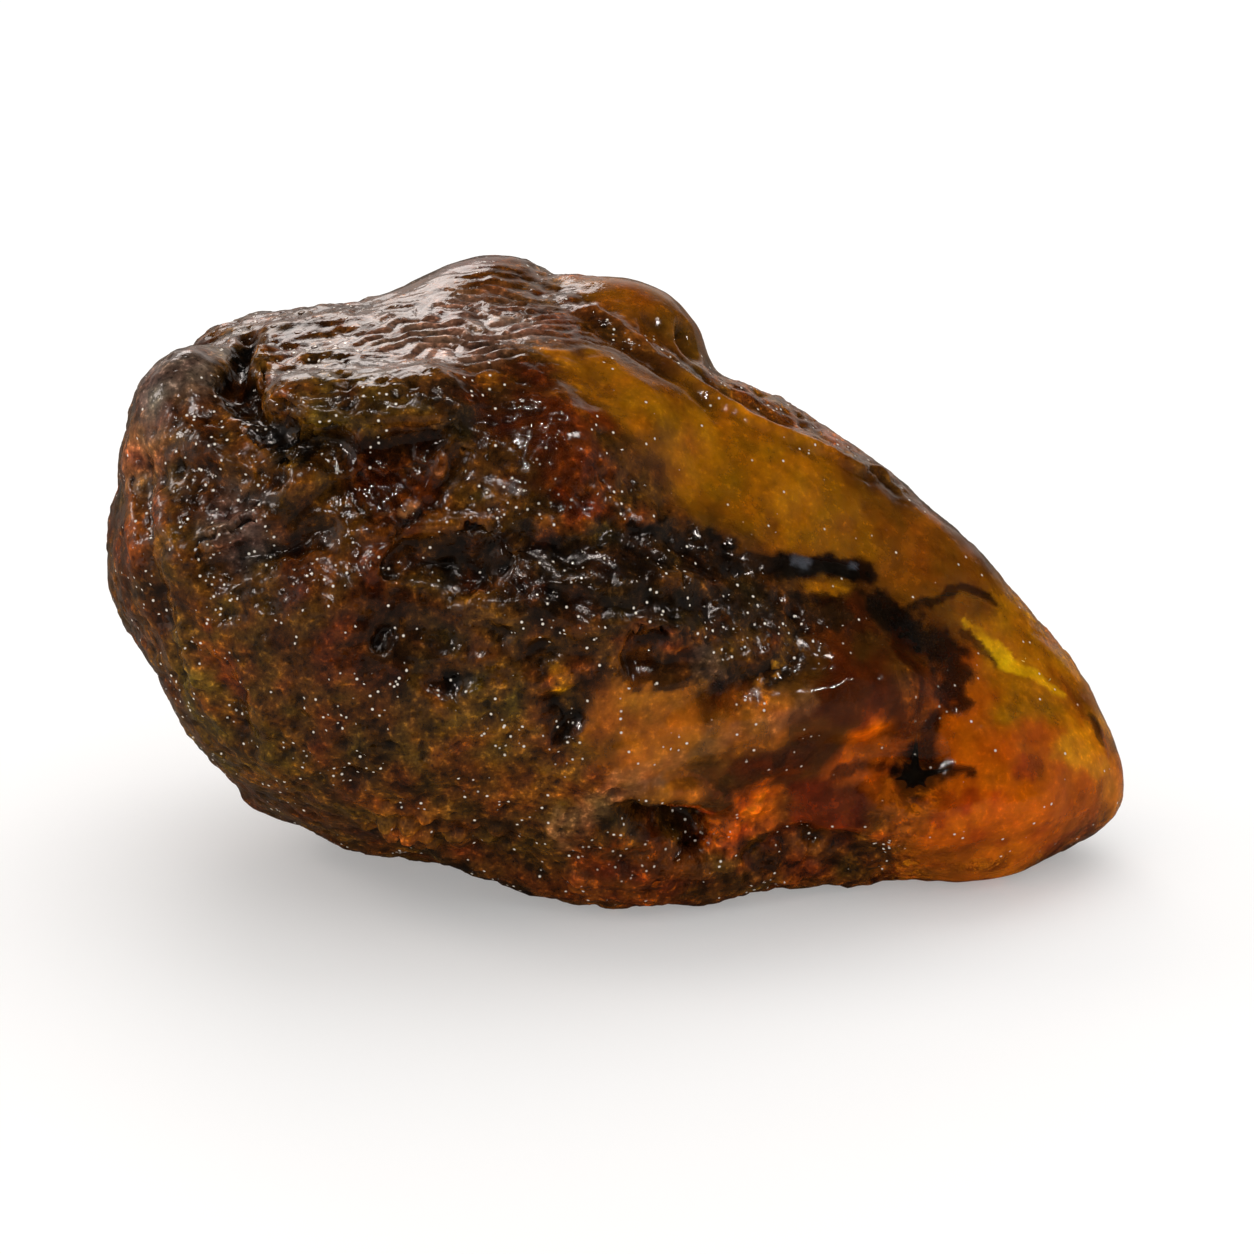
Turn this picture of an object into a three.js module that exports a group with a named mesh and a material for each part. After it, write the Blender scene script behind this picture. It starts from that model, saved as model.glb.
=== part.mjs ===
// A raw amber piece: one lump of hardened tree resin. Its left end is tall and blunt, with a flat
// top, a thick roll along the front of that top and two knobs behind it. On the right a long face
// slopes down to a low rounded nose. It hardened as one body, so it is one mesh.
//
// The lump is written as a field: a function of a point that is negative inside the amber and
// positive outside it, in millimetres. Lobes are melted together, planes shave faces off them,
// rolls and knobs are added, and hollows are pressed in. A surface net then turns the field's zero
// level into triangles.
//
// Units are millimetres. +X runs along the lump towards its nose, +Y goes towards its back and
// +Z is up. The origin is on the resting plane, in the middle of the lump's bounding box.

import * as THREE from "three";

// Driving dimensions
const LENGTH = 55; // blunt end to nose
const DEPTH = 30; // front to back
const HEIGHT = 31.2; // resting plane to the top of the knobs
const SWELL = 0.3; // height of the slow swells all over the skin
const SWELL_PITCH = 11; // distance from one swell to the next
const CELL = 1.2; // spacing of the sampling grid, and so about the length of a triangle's side
const MARGIN = 3; // how far the grid goes past the lump on each side

const v = (x, y, z) => new THREE.Vector3(x, y, z);

// Joins two fields, with a fillet about k wide where they meet.
function melt(a, b, k) {
  const h = Math.max(k - Math.abs(a - b), 0) / k;
  return Math.min(a, b) - (h * h * k) / 4;
}

// Keeps what two fields share, with an edge rounded about k wide.
const shave = (a, b, k) => -melt(-a, -b, k);

// An ellipsoid with its half lengths in radii, turned by degrees about X, Y and Z.
function ellipsoid(at, radii, turn = [0, 0, 0]) {
  const euler = new THREE.Euler(...turn.map(THREE.MathUtils.degToRad));
  const toLocal = new THREE.Matrix4().makeRotationFromEuler(euler).invert();
  return (p) => {
    const q = p.clone().sub(at).applyMatrix4(toLocal);
    const near = v(q.x / radii[0], q.y / radii[1], q.z / radii[2]);
    const steep = v(near.x / radii[0], near.y / radii[1], near.z / radii[2]);
    return (near.length() * (near.length() - 1)) / Math.max(steep.length(), 1e-6);
  };
}

// A rope of one radius through a few points.
function rope(points, radius) {
  return (p) => {
    let nearest = Infinity;
    for (let i = 0; i + 1 < points.length; i++) {
      const closest = new THREE.Line3(points[i], points[i + 1]).closestPointToPoint(p, true, v(0, 0, 0));
      nearest = Math.min(nearest, closest.distanceTo(p));
    }
    return nearest - radius;
  };
}

// Everything behind a plane that passes through a point and faces along normal.
function behind(through, normal) {
  const facing = normal.clone().normalize();
  return (p) => p.clone().sub(through).dot(facing);
}

const BODY = [
  { name: "main mass", join: 1, field: ellipsoid(v(-9, 0.3, 14.8), [31, 14.6, 16.9]) },
  { name: "nose", join: 6, field: ellipsoid(v(17.4, 0.2, 6.4), [9.9, 8.6, 8.2]) },
];

const FACES = [
  { name: "blunt end", edge: 7, field: behind(v(-27.8, 0, 19), v(-1, 0.05, 0.02)) },
  { name: "left shoulder", edge: 4, field: behind(v(-25.2, 0, 27), v(-0.72, -0.1, 0.69)) },
  { name: "top", edge: 3, field: behind(v(-16, 0, 30), v(-0.03, -0.1, 1)) },
  { name: "lower left", edge: 9, field: behind(v(-23.4, -3, 6.7), v(-0.72, -0.25, -0.6)) },
  { name: "front underside", edge: 6, field: behind(v(-9, -9, 1.5), v(-0.12, -0.55, -0.84)) },
  { name: "long front slope", edge: 1.5, field: behind(v(7.6, -1, 24.9), v(0.53, -0.56, 0.63)) },
  { name: "back slope", edge: 1.5, field: behind(v(7.6, -1, 24.9), v(0.46, 0.02, 0.88)) },
  { name: "nose slope", edge: 4, field: behind(v(18.5, 2, 18.8), v(0.7, 0, 0.7)) },
  { name: "nose end", edge: 3, field: behind(v(26.6, 0, 9), v(0.85, 0, 0.5)) },
  { name: "back flank", edge: 6, field: behind(v(6, 13.2, 12), v(0.28, 1, 0.12)) },
  { name: "back underside", edge: 8, field: behind(v(-8, 11.4, 1.8), v(-0.05, 0.6, -0.8)) },
];

const ADDED = [
  { name: "back bump", join: 3, field: ellipsoid(v(-7.4, 8.8, 25.4), [5.4, 5, 5.9], [0, 8, 20]) },
  { name: "back knob", join: 2.5, field: ellipsoid(v(-0.3, 6.8, 25), [5.6, 5.4, 5.4], [0, 20, -15]) },
  { name: "shoulder lobe", join: 2, field: ellipsoid(v(-22.6, -3.6, 25.4), [3, 4.6, 4.2], [20, 0, 10]) },
  {
    name: "front roll",
    join: 2,
    field: rope([v(-17.2, -7.4, 26.6), v(-10, -8, 27), v(-4, -6.6, 26.6), v(0, -4, 24.4)], 3.1),
  },
  {
    name: "fold",
    join: 1.6,
    field: rope([v(-6, -6, 4.4), v(0, -9.6, 6.2), v(7, -9, 9.8), v(13, -5.6, 11.2)], 3),
  },
  { name: "belly", join: 2.5, field: ellipsoid(v(1, -5.4, 3.6), [8.4, 4.6, 4.6], [0, 4, -8]) },
  { name: "low bulge", join: 2, field: ellipsoid(v(10.5, -3.6, 3), [6, 4, 3.6]) },
  { name: "tip", join: 1.5, field: ellipsoid(v(25.4, -0.6, 3.8), [2.1, 2.4, 2.7]) },
  { name: "back swell", join: 3, field: ellipsoid(v(-16, 9.6, 15), [7, 4.8, 8], [0, 25, 0]) },
];

const PRESSED = [
  { name: "cleft", edge: 1.2, field: rope([v(-20.4, -1, 31.3), v(-19.8, -9.6, 28.2)], 1.5) },
  {
    name: "hollow under the roll",
    edge: 1.5,
    field: rope([v(-20.5, -11.6, 24.6), v(-16.5, -13.4, 24.3), v(-9, -13.2, 24.6)], 1.9),
  },
  {
    name: "scoop",
    edge: 1.5,
    field: ellipsoid(v(-9.5, -14.2, 23), [5.5, 2.4, 3], [0, 25, 0]),
  },
  { name: "crater", edge: 1.2, field: ellipsoid(v(-9.6, -15.4, 18.2), [3, 2.4, 2.4]) },
  {
    name: "recess under the fold",
    edge: 1.5,
    field: rope([v(3.5, -13, 4.4), v(9, -11.6, 7.2), v(15, -10.2, 8.8)], 2),
  },
  { name: "hollow behind the knob", edge: 1.5, field: rope([v(4.8, 3.4, 27.8), v(7, 9, 25.4)], 1.4) },
  { name: "back scoop", edge: 4, field: ellipsoid(v(2, 17.5, 11), [9, 5, 6], [0, 20, 0]) },
];

// Slow swells that keep any face from being quite flat.
function swell(p) {
  const turn = (2 * Math.PI) / SWELL_PITCH;
  const across = Math.sin(turn * (p.x + 0.4 * p.z)) * Math.cos(turn * (0.8 * p.y - 0.3 * p.x));
  return SWELL * across * Math.sin(turn * 0.7 * p.z + 1);
}

// The whole lump's field at a point, cut flat where it rests.
function amberField(p) {
  let d = Infinity;
  for (const lobe of BODY) d = melt(d, lobe.field(p), lobe.join);
  for (const face of FACES) d = shave(d, face.field(p), face.edge);
  for (const lobe of ADDED) d = melt(d, lobe.field(p), lobe.join);
  for (const hollow of PRESSED) d = shave(d, -hollow.field(p), hollow.edge);
  return Math.max(d + swell(p), -p.z);
}

// Turns the zero level of a field into one closed mesh of triangles. Each grid cell that the
// surface passes through gets one vertex, and each grid edge that it crosses gets one quad.
function surfaceNet(field, low, high, cell) {
  const count = ["x", "y", "z"].map((axis) => Math.ceil((high[axis] - low[axis]) / cell) + 1);
  const step = [1, count[0], count[0] * count[1]];
  const node = (i, j, k) => v(low.x + i * cell, low.y + j * cell, low.z + k * cell);
  const value = new Float64Array(count[0] * count[1] * count[2]);
  for (let k = 0; k < count[2]; k++)
    for (let j = 0; j < count[1]; j++)
      for (let i = 0; i < count[0]; i++)
        value[i * step[0] + j * step[1] + k * step[2]] = field(node(i, j, k));

  const vertexOf = new Map();
  const positions = [];
  const corners = [0, 1, 2, 3, 4, 5, 6, 7].map((c) => [c & 1, (c >> 1) & 1, c >> 2]);
  for (let k = 0; k + 1 < count[2]; k++)
    for (let j = 0; j + 1 < count[1]; j++)
      for (let i = 0; i + 1 < count[0]; i++) {
        const base = i + j * step[1] + k * step[2];
        const sum = v(0, 0, 0);
        let crossings = 0;
        for (const a of corners)
          for (let axis = 0; axis < 3; axis++) {
            if (a[axis]) continue;
            const b = a.map((x, n) => (n === axis ? 1 : x));
            const da = value[base + a[0] + a[1] * step[1] + a[2] * step[2]];
            const db = value[base + b[0] + b[1] * step[1] + b[2] * step[2]];
            if (da < 0 === db < 0) continue;
            const from = node(i + a[0], j + a[1], k + a[2]);
            const to = node(i + b[0], j + b[1], k + b[2]);
            sum.add(from.lerp(to, da / (da - db)));
            crossings++;
          }
        if (!crossings) continue;
        vertexOf.set(base, positions.length / 3);
        positions.push(...sum.divideScalar(crossings));
      }

  const triangles = [];
  const at = (n) => v(...positions.slice(3 * n, 3 * n + 3));
  for (let k = 1; k + 1 < count[2]; k++)
    for (let j = 1; j + 1 < count[1]; j++)
      for (let i = 1; i + 1 < count[0]; i++) {
        const base = i + j * step[1] + k * step[2];
        for (let axis = 0; axis < 3; axis++) {
          const startsInside = value[base] < 0;
          if (startsInside === value[base + step[axis]] < 0) continue;
          const one = step[(axis + 1) % 3];
          const two = step[(axis + 2) % 3];
          const ring = [base - one - two, base - two, base, base - one].map((c) => vertexOf.get(c));
          if (!startsInside) ring.reverse();
          const [a, b, c, d] = ring;
          const shortAC = at(a).distanceTo(at(c)) <= at(b).distanceTo(at(d));
          triangles.push(...(shortAC ? [a, b, c, a, c, d] : [a, b, d, b, c, d]));
        }
      }

  const geometry = new THREE.BufferGeometry();
  geometry.setAttribute("position", new THREE.Float32BufferAttribute(positions, 3));
  geometry.setIndex(triangles);
  return geometry;
}

// The lump as a geometry. It is moved so that its bounding box is centred over the origin, and
// trued up to its exact length, depth and height.
function lump() {
  const low = v(-LENGTH / 2 - MARGIN, -DEPTH / 2 - MARGIN, -MARGIN);
  const high = v(LENGTH / 2 + MARGIN, DEPTH / 2 + MARGIN, HEIGHT + MARGIN);
  const geometry = surfaceNet(amberField, low, high, CELL);
  geometry.computeBoundingBox();
  const box = geometry.boundingBox;
  const middle = box.getCenter(v(0, 0, 0));
  const size = box.getSize(v(0, 0, 0));
  geometry.translate(-middle.x, -middle.y, -box.min.z);
  return geometry.scale(LENGTH / size.x, DEPTH / size.y, HEIGHT / size.z);
}

const amber = new THREE.Mesh(
  lump(),
  new THREE.MeshStandardMaterial({ color: 0x8a4a10, roughness: 0.25, metalness: 0 }),
);
amber.name = "amber";

const part = new THREE.Group();
part.add(amber);

export default part;
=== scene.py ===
# %% [markdown]
# # A raw amber piece
#
# Raw amber is hardened tree resin as it comes out of the ground. The inside is clear and honey
# coloured, and the outside is a thin weathered crust, pitted and brown, which looks wet where it
# has been oiled. This notebook starts from the plain faceted lump, which fixes the size and the
# place of everything, and turns it into that stone: fine relief, colours, clear windows, and the
# burnt wood, soot and cracks that are sealed in the resin.

# %% Load the fixed frame
import math

import bpy
import numpy as np
from mathutils import Euler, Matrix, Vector, noise


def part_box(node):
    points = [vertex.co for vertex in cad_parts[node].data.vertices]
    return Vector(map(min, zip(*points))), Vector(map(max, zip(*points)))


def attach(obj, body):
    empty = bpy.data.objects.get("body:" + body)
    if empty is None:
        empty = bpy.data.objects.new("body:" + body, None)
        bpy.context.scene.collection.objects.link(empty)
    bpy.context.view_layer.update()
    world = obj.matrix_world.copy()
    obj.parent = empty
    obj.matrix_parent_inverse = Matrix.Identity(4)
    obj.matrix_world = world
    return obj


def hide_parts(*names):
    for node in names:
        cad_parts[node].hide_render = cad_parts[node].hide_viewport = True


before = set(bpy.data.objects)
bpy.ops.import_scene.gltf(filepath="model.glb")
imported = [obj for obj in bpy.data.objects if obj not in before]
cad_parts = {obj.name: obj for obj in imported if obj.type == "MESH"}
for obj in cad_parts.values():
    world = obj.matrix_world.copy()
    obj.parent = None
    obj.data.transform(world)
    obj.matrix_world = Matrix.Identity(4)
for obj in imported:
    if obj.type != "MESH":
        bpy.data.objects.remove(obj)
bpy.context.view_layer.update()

MM = 0.001
low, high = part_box("amber")
middle = (low + high) / 2
size = high - low
print("lump, mm:", [round(side / MM, 1) for side in size])

# %% [markdown]
# ## Camera
#
# A small stone is looked at from close by, but through a long lens, so its shape isn't stretched.
# The camera stands in front and looks down by 20 degrees. It is placed by walking back from a
# point near the middle of the lump, along the line of sight.

# %% Camera
LOOK_DOWN = math.radians(20)
DISTANCE = 350 * MM
LENS = 185.4
AIM_RIGHT = 0.35 * MM
AIM_HEIGHT = 15 * MM
AIM_DOWN = 2.06 * MM
NEAR_LIMIT = 0.01
FAR_LIMIT = 20

back = Vector((0, -math.cos(LOOK_DOWN), math.sin(LOOK_DOWN)))
up = Vector((0, math.sin(LOOK_DOWN), math.cos(LOOK_DOWN)))
aim = Vector((AIM_RIGHT, 0, AIM_HEIGHT)) - up * AIM_DOWN
camera_data = bpy.data.cameras.new("camera")
camera_data.lens = LENS
camera_data.clip_start = NEAR_LIMIT
camera_data.clip_end = FAR_LIMIT
camera = bpy.data.objects.new("camera", camera_data)
camera.location = aim + back * DISTANCE
camera.rotation_mode = "QUATERNION"
camera.rotation_quaternion = (-back).to_track_quat("-Z", "Y")
bpy.context.scene.collection.objects.link(camera)
bpy.context.scene.camera = camera
print("camera at, mm:", [round(c / MM) for c in camera.location])

# %% [markdown]
# ## Helpers
#
# An operator acts on what is selected, so each one is called with just its own object picked. A
# material is made of nodes, and the helper for nodes sets a node's values and links in one line:
# its inputs are named or numbered, and each gets either a value or the output of another node.

# %% Helpers for objects and nodes
def deselect():
    """Leaves nothing selected, because an operator acts on all that is."""
    bpy.ops.object.select_all(action="DESELECT")


def pick(obj):
    """Makes obj the one thing that the next operator acts on."""
    deselect()
    obj.select_set(True)
    bpy.context.view_layer.objects.active = obj


def new_material(name):
    """An empty material, its node tree and its output node."""
    material = bpy.data.materials.new(name)
    material.use_nodes = True
    material.node_tree.nodes.clear()
    output = material.node_tree.nodes.new("ShaderNodeOutputMaterial")
    return material, material.node_tree, output


def node(tree, kind, inputs=None, **settings):
    """A new node with its settings, and a value or a link for each named or numbered input."""
    made = tree.nodes.new("ShaderNode" + kind)
    for name, value in settings.items():
        setattr(made, name, value)
    for name, value in (inputs or {}).items():
        socket = made.inputs[name]
        if isinstance(value, bpy.types.NodeSocket):
            tree.links.new(value, socket)
        else:
            socket.default_value = value
    return made


def calculate(tree, operation, first, second):
    """The result of a Math node."""
    return node(tree, "Math", {0: first, 1: second}, operation=operation).outputs[0]


def scaled(tree, value, low_in, high_in, low_out, high_out):
    """value, moved from one range to another and kept inside it."""
    return node(tree, "MapRange", {0: value, 1: low_in, 2: high_in, 3: low_out, 4: high_out}).outputs[0]


print("helpers: deselect, pick, new_material, node, calculate, scaled")

# %% [markdown]
# ## Floor
#
# The stone lies on a plain white floor that goes on past the edge of every view. It is one flat
# plane with a matt finish, and isn't part of the object. A faint glow of its own keeps the shadow
# soft, and further out it turns into pure white. What the stone mirrors is a dim copy of it,
# because a white floor would lay a pale veil over the whole lower half of the wet skin.

# %% Floor
FLOOR_SIDE = 12
FLOOR_DROP = 0.02 * MM
PAPER = (0.7, 0.7, 0.7, 1)
PAPER_GLOW = 0.3
GLOW_TINT = (1, 0.99, 0.98, 1)
MIRRORED_PAPER = (0.12, 0.11, 0.1, 1)
FADE_FROM = 70 * MM
FADE_TO = 260 * MM

deselect()
bpy.ops.mesh.primitive_plane_add(size=FLOOR_SIDE, location=(0, 0, -FLOOR_DROP))
floor = bpy.context.active_object
floor.name = "floor"
floor_material, tree, output = new_material("floor_white")
matt = node(tree, "BsdfDiffuse", {"Color": PAPER})
faint_glow = node(tree, "Emission", {"Color": GLOW_TINT, "Strength": PAPER_GLOW})
near_paper = node(tree, "AddShader", {0: matt.outputs[0], 1: faint_glow.outputs[0]})
far_paper = node(tree, "Emission", {"Color": (1, 1, 1, 1), "Strength": 1.0})
from_middle = node(tree, "VectorMath", {0: node(tree, "TexCoord").outputs["Object"]}, operation="LENGTH")
far = scaled(tree, from_middle.outputs["Value"], FADE_FROM, FADE_TO, 0.0, 1.0)
paper = node(tree, "MixShader", {0: far, 1: near_paper.outputs[0], 2: far_paper.outputs[0]})
dim = node(tree, "BsdfDiffuse", {"Color": MIRRORED_PAPER})
gloss_ray = node(tree, "LightPath").outputs["Is Glossy Ray"]
seen_paper = node(tree, "MixShader", {0: gloss_ray, 1: paper.outputs[0], 2: dim.outputs[0]})
tree.links.new(seen_paper.outputs[0], output.inputs["Surface"])
floor.data.materials.append(floor_material)
print("floor side, m:", FLOOR_SIDE)

# %% [markdown]
# ## Light
#
# Amber shows its colour when light comes through it from behind, and its skin shows when soft
# light glances off it. So the sky is bright behind and above the stone, and darker in front.
#
# A wet skin mirrors the whole sky, and a wide bright sky would turn it grey. So what is mirrored
# is another sky, dark but for a band low at the back and one on each side. The band at the back
# gives the sheen on the flat top, and the one on the left the sheen on the blunt end. A Light
# Path node tells which of the two is asked for. The camera sees plain white past the floor.

# %% Sky
BACK_SKY = 0.9
FRONT_SKY = 0.6
TOP_SKY = 0.95
BACK_GLOSS = 0.62
LEFT_GLOSS = 0.55
RIGHT_GLOSS = 0.16
FRONT_GLOSS = 0.008
SKY_TINT = (1, 0.985, 0.97, 1)
GLOSS_TINT = (1, 0.88, 0.81, 1)

world = bpy.data.worlds.new("soft_sky")
bpy.context.scene.world = world
world.use_nodes = True
tree = world.node_tree
tree.nodes.clear()
direction = node(tree, "SeparateXYZ", {0: node(tree, "TexCoord").outputs["Generated"]}).outputs
sky_behind = scaled(tree, direction["Y"], -0.5, 0.5, FRONT_SKY, BACK_SKY)
sky_above = scaled(tree, direction["Z"], 0.2, 0.9, 0.0, TOP_SKY)
lit_sky = calculate(tree, "MAXIMUM", sky_behind, sky_above)
back_gloss = scaled(tree, direction["Y"], 0.76, 0.95, FRONT_GLOSS, BACK_GLOSS)
right_gloss = scaled(tree, direction["X"], 0.75, 1.0, 0.0, RIGHT_GLOSS)
left_gloss = scaled(tree, direction["X"], -0.55, -0.97, 0.0, LEFT_GLOSS)
gloss_sky = calculate(tree, "ADD", back_gloss, calculate(tree, "ADD", right_gloss, left_gloss))
mirrored = node(tree, "LightPath").outputs["Is Glossy Ray"]
strength = node(tree, "Mix", {"Factor": mirrored, "A": lit_sky, "B": gloss_sky}).outputs[0]
tint = node(tree, "Mix", {0: mirrored, 6: SKY_TINT, 7: GLOSS_TINT}, data_type="RGBA").outputs[2]
soft = node(tree, "Background", {"Color": tint, "Strength": strength})
white = node(tree, "Background", {"Color": (1, 1, 1, 1), "Strength": 1.0})
seen = node(tree, "LightPath").outputs["Is Camera Ray"]
sky = node(tree, "MixShader", {0: seen, 1: soft.outputs[0], 2: white.outputs[0]})
node(tree, "OutputWorld", {"Surface": sky.outputs[0]})
bpy.context.scene.view_settings.view_transform = "Standard"
print("sky from", FRONT_SKY, "in front to", BACK_SKY, "behind")

# %% [markdown]
# ### Lamps
#
# A sun as wide as a window fills the shadows evenly, and isn't mirrored. Two round soft boxes,
# over the back and at the left, draw the long highlights. Six small lamps are seen by the gloss
# alone: each grain and drop of the skin that leans the right way mirrors one, as a spark.

# %% Lamps
SUN_POWER = 0.75
SUN_WIDTH = math.radians(60)
SUN_TURN = (math.radians(-38), math.radians(8), 0)
WARM_WHITE = (1.0, 0.92, 0.88)
ROSY_WHITE = (1.0, 0.88, 0.82)
SPARK_WHITE = (1.0, 0.9, 0.84)
SPARK_WIDTH = 16
SPARK_POWER = 0.11
SPARK_PLACES = [
    (-330, -150, 230), (-70, -250, 380), (80, -170, 410),
    (-190, -330, 170), (250, -120, 270), (-20, -120, 430),
]


def area_lamp(name, place, width, power, colour):
    """A round soft box of that width in mm, at that place in mm, facing the stone."""
    lamp = bpy.data.lights.new(name, "AREA")
    lamp.shape = "DISK"
    lamp.size = width * MM
    lamp.energy = power
    lamp.color = colour
    holder = bpy.data.objects.new(name, lamp)
    holder.location = Vector(place) * MM
    holder.rotation_mode = "QUATERNION"
    holder.rotation_quaternion = (middle - holder.location).to_track_quat("-Z", "Y")
    bpy.context.scene.collection.objects.link(holder)
    return holder


sun = bpy.data.lights.new("even_light", "SUN")
sun.energy = SUN_POWER
sun.angle = SUN_WIDTH
sun_holder = bpy.data.objects.new("even_light", sun)
sun_holder.rotation_euler = Euler(SUN_TURN)
sun_holder.visible_glossy = False
bpy.context.scene.collection.objects.link(sun_holder)

area_lamp("back_box", (-85, 360, 212), 160, 0.2, WARM_WHITE)
area_lamp("left_box", (-330, 60, 230), 110, 0.2, ROSY_WHITE)
for number, place in enumerate(SPARK_PLACES):
    spark = area_lamp("sparkle_" + str(number), place, SPARK_WIDTH, SPARK_POWER, SPARK_WHITE)
    spark.visible_diffuse = False
    spark.visible_transmission = False
print("lamps:", len(bpy.data.lights))

# %% [markdown]
# ## The skin
#
# The stone's skin is one closed surface. The faceted lump gives its size and its main forms. A
# copy of it is merged, rounded by one level of subdivision, and then remeshed in even squares of
# about a quarter of a millimetre, which are small enough to carry pits and wrinkles as real
# relief. Real amber gets this relief from the sand and bark that it hardened against.

# %% Copy, round and remesh
VOXEL = 0.27 * MM

lump = bpy.data.objects.new("amber_lump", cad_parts["amber"].data.copy())
bpy.context.scene.collection.objects.link(lump)
lump.data.materials.clear()


def add_modifier(obj, kind, **settings):
    """Adds a modifier with these settings to obj and applies it."""
    pick(obj)
    modifier = obj.modifiers.new(kind.lower(), kind)
    for name, value in settings.items():
        setattr(modifier, name, value)
    bpy.ops.object.modifier_apply(modifier=modifier.name)


pick(lump)
bpy.ops.object.mode_set(mode="EDIT")
bpy.ops.mesh.select_all(action="SELECT")
bpy.ops.mesh.remove_doubles(threshold=0.01 * MM)
bpy.ops.mesh.normals_make_consistent(inside=False)
bpy.ops.object.mode_set(mode="OBJECT")
add_modifier(lump, "SUBSURF", levels=1, render_levels=1)
add_modifier(lump, "REMESH", mode="VOXEL", voxel_size=VOXEL, use_smooth_shade=True)
add_modifier(lump, "SMOOTH", factor=0.5, iterations=10)
print("skin faces:", len(lump.data.polygons))

# %% [markdown]
# ## Brushes
#
# The next steps shape and colour the skin as with sculpting brushes. A brush gives each point of
# the skin a weight from 0 to 1: near a path, in a ball, or by a noise. The weights go into a
# vertex group, and a Displace modifier with that group lifts or presses the skin by so many
# millimetres. The same weights later say where a colour lies.

# %% Brushes
def skin_points():
    """The skin's points, in mm."""
    points = np.empty(3 * len(lump.data.vertices))
    lump.data.vertices.foreach_get("co", points)
    return points.reshape(-1, 3) / MM


def ease(share):
    """A soft step from 0 to 1."""
    share = np.clip(share, 0, 1)
    return share * share * (3 - 2 * share)


def along(points, path, width):
    """1 on a path of points, and 0 at width mm from it and beyond."""
    nearest = np.full(len(points), 1e9)
    path = [np.array(p, float) for p in path]
    for start, end in zip(path[:-1], path[1:]):
        run = end - start
        share = np.clip((points - start) @ run / (run @ run), 0, 1)
        nearest = np.minimum(nearest, np.linalg.norm(points - start - share[:, None] * run, axis=1))
    return ease(1 - nearest / width)


def ball(points, centre, radius):
    """1 at a centre, and 0 at radius mm from it and beyond."""
    return ease(1 - np.linalg.norm(points - np.array(centre), axis=1) / radius)


def clouds(points, grain, octaves=3, seed=0):
    """A soft noise from 0 to 1, with its clouds about grain mm across."""
    shift = Vector((17.3, 5.1, 9.7)) * seed
    values = [noise.fractal(Vector(p) + shift, 1.0, 2.0, octaves) for p in points / grain]
    return np.clip(0.5 + 0.5 * np.array(values), 0, 1)


def drift(points, grain, octaves, seeds):
    """A shift of up to half a millimetre each way for each point, by one noise for each axis."""
    return np.stack([clouds(points, grain, octaves, seed) for seed in seeds], axis=1) - 0.5


def cells(points, grain, seed=0):
    """How far each point is from the nearest of some scattered seeds, in grains."""
    shift = Vector((3.7, 11.9, 7.3)) * seed
    return np.array([noise.voronoi(Vector(p) / grain + shift)[0][0] for p in points])


def lift(weights, height):
    """Lifts the skin by up to height mm where weights say. A negative height presses it in."""
    group = lump.vertex_groups.new(name="brush")
    levels = np.clip(np.round(weights * 100), 0, 100).astype(int)
    for level in range(1, 101):
        chosen = np.nonzero(levels == level)[0].tolist()
        if chosen:
            group.add(chosen, level / 100, "REPLACE")
    add_modifier(lump, "DISPLACE", vertex_group="brush", strength=height * MM, mid_level=0)
    lump.vertex_groups.remove(lump.vertex_groups["brush"])


points = skin_points()
wobble = drift(points, 2.4, 3, (7, 8, 9))
print("skin points:", len(points))

# %% [markdown]
# ## Main creases and folds
#
# Resin runs in sheets and ropes, and each new flow lies over the last. The large marks of that
# are made first: the cleft beside the left shoulder, the undercut lip below the top roll, the
# shell-shaped scar, the long smooth fold over the clear recess, and the sharp line where the top
# and the sloping face meet. Each is a path of a few points on the skin, a width and a height.

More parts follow.
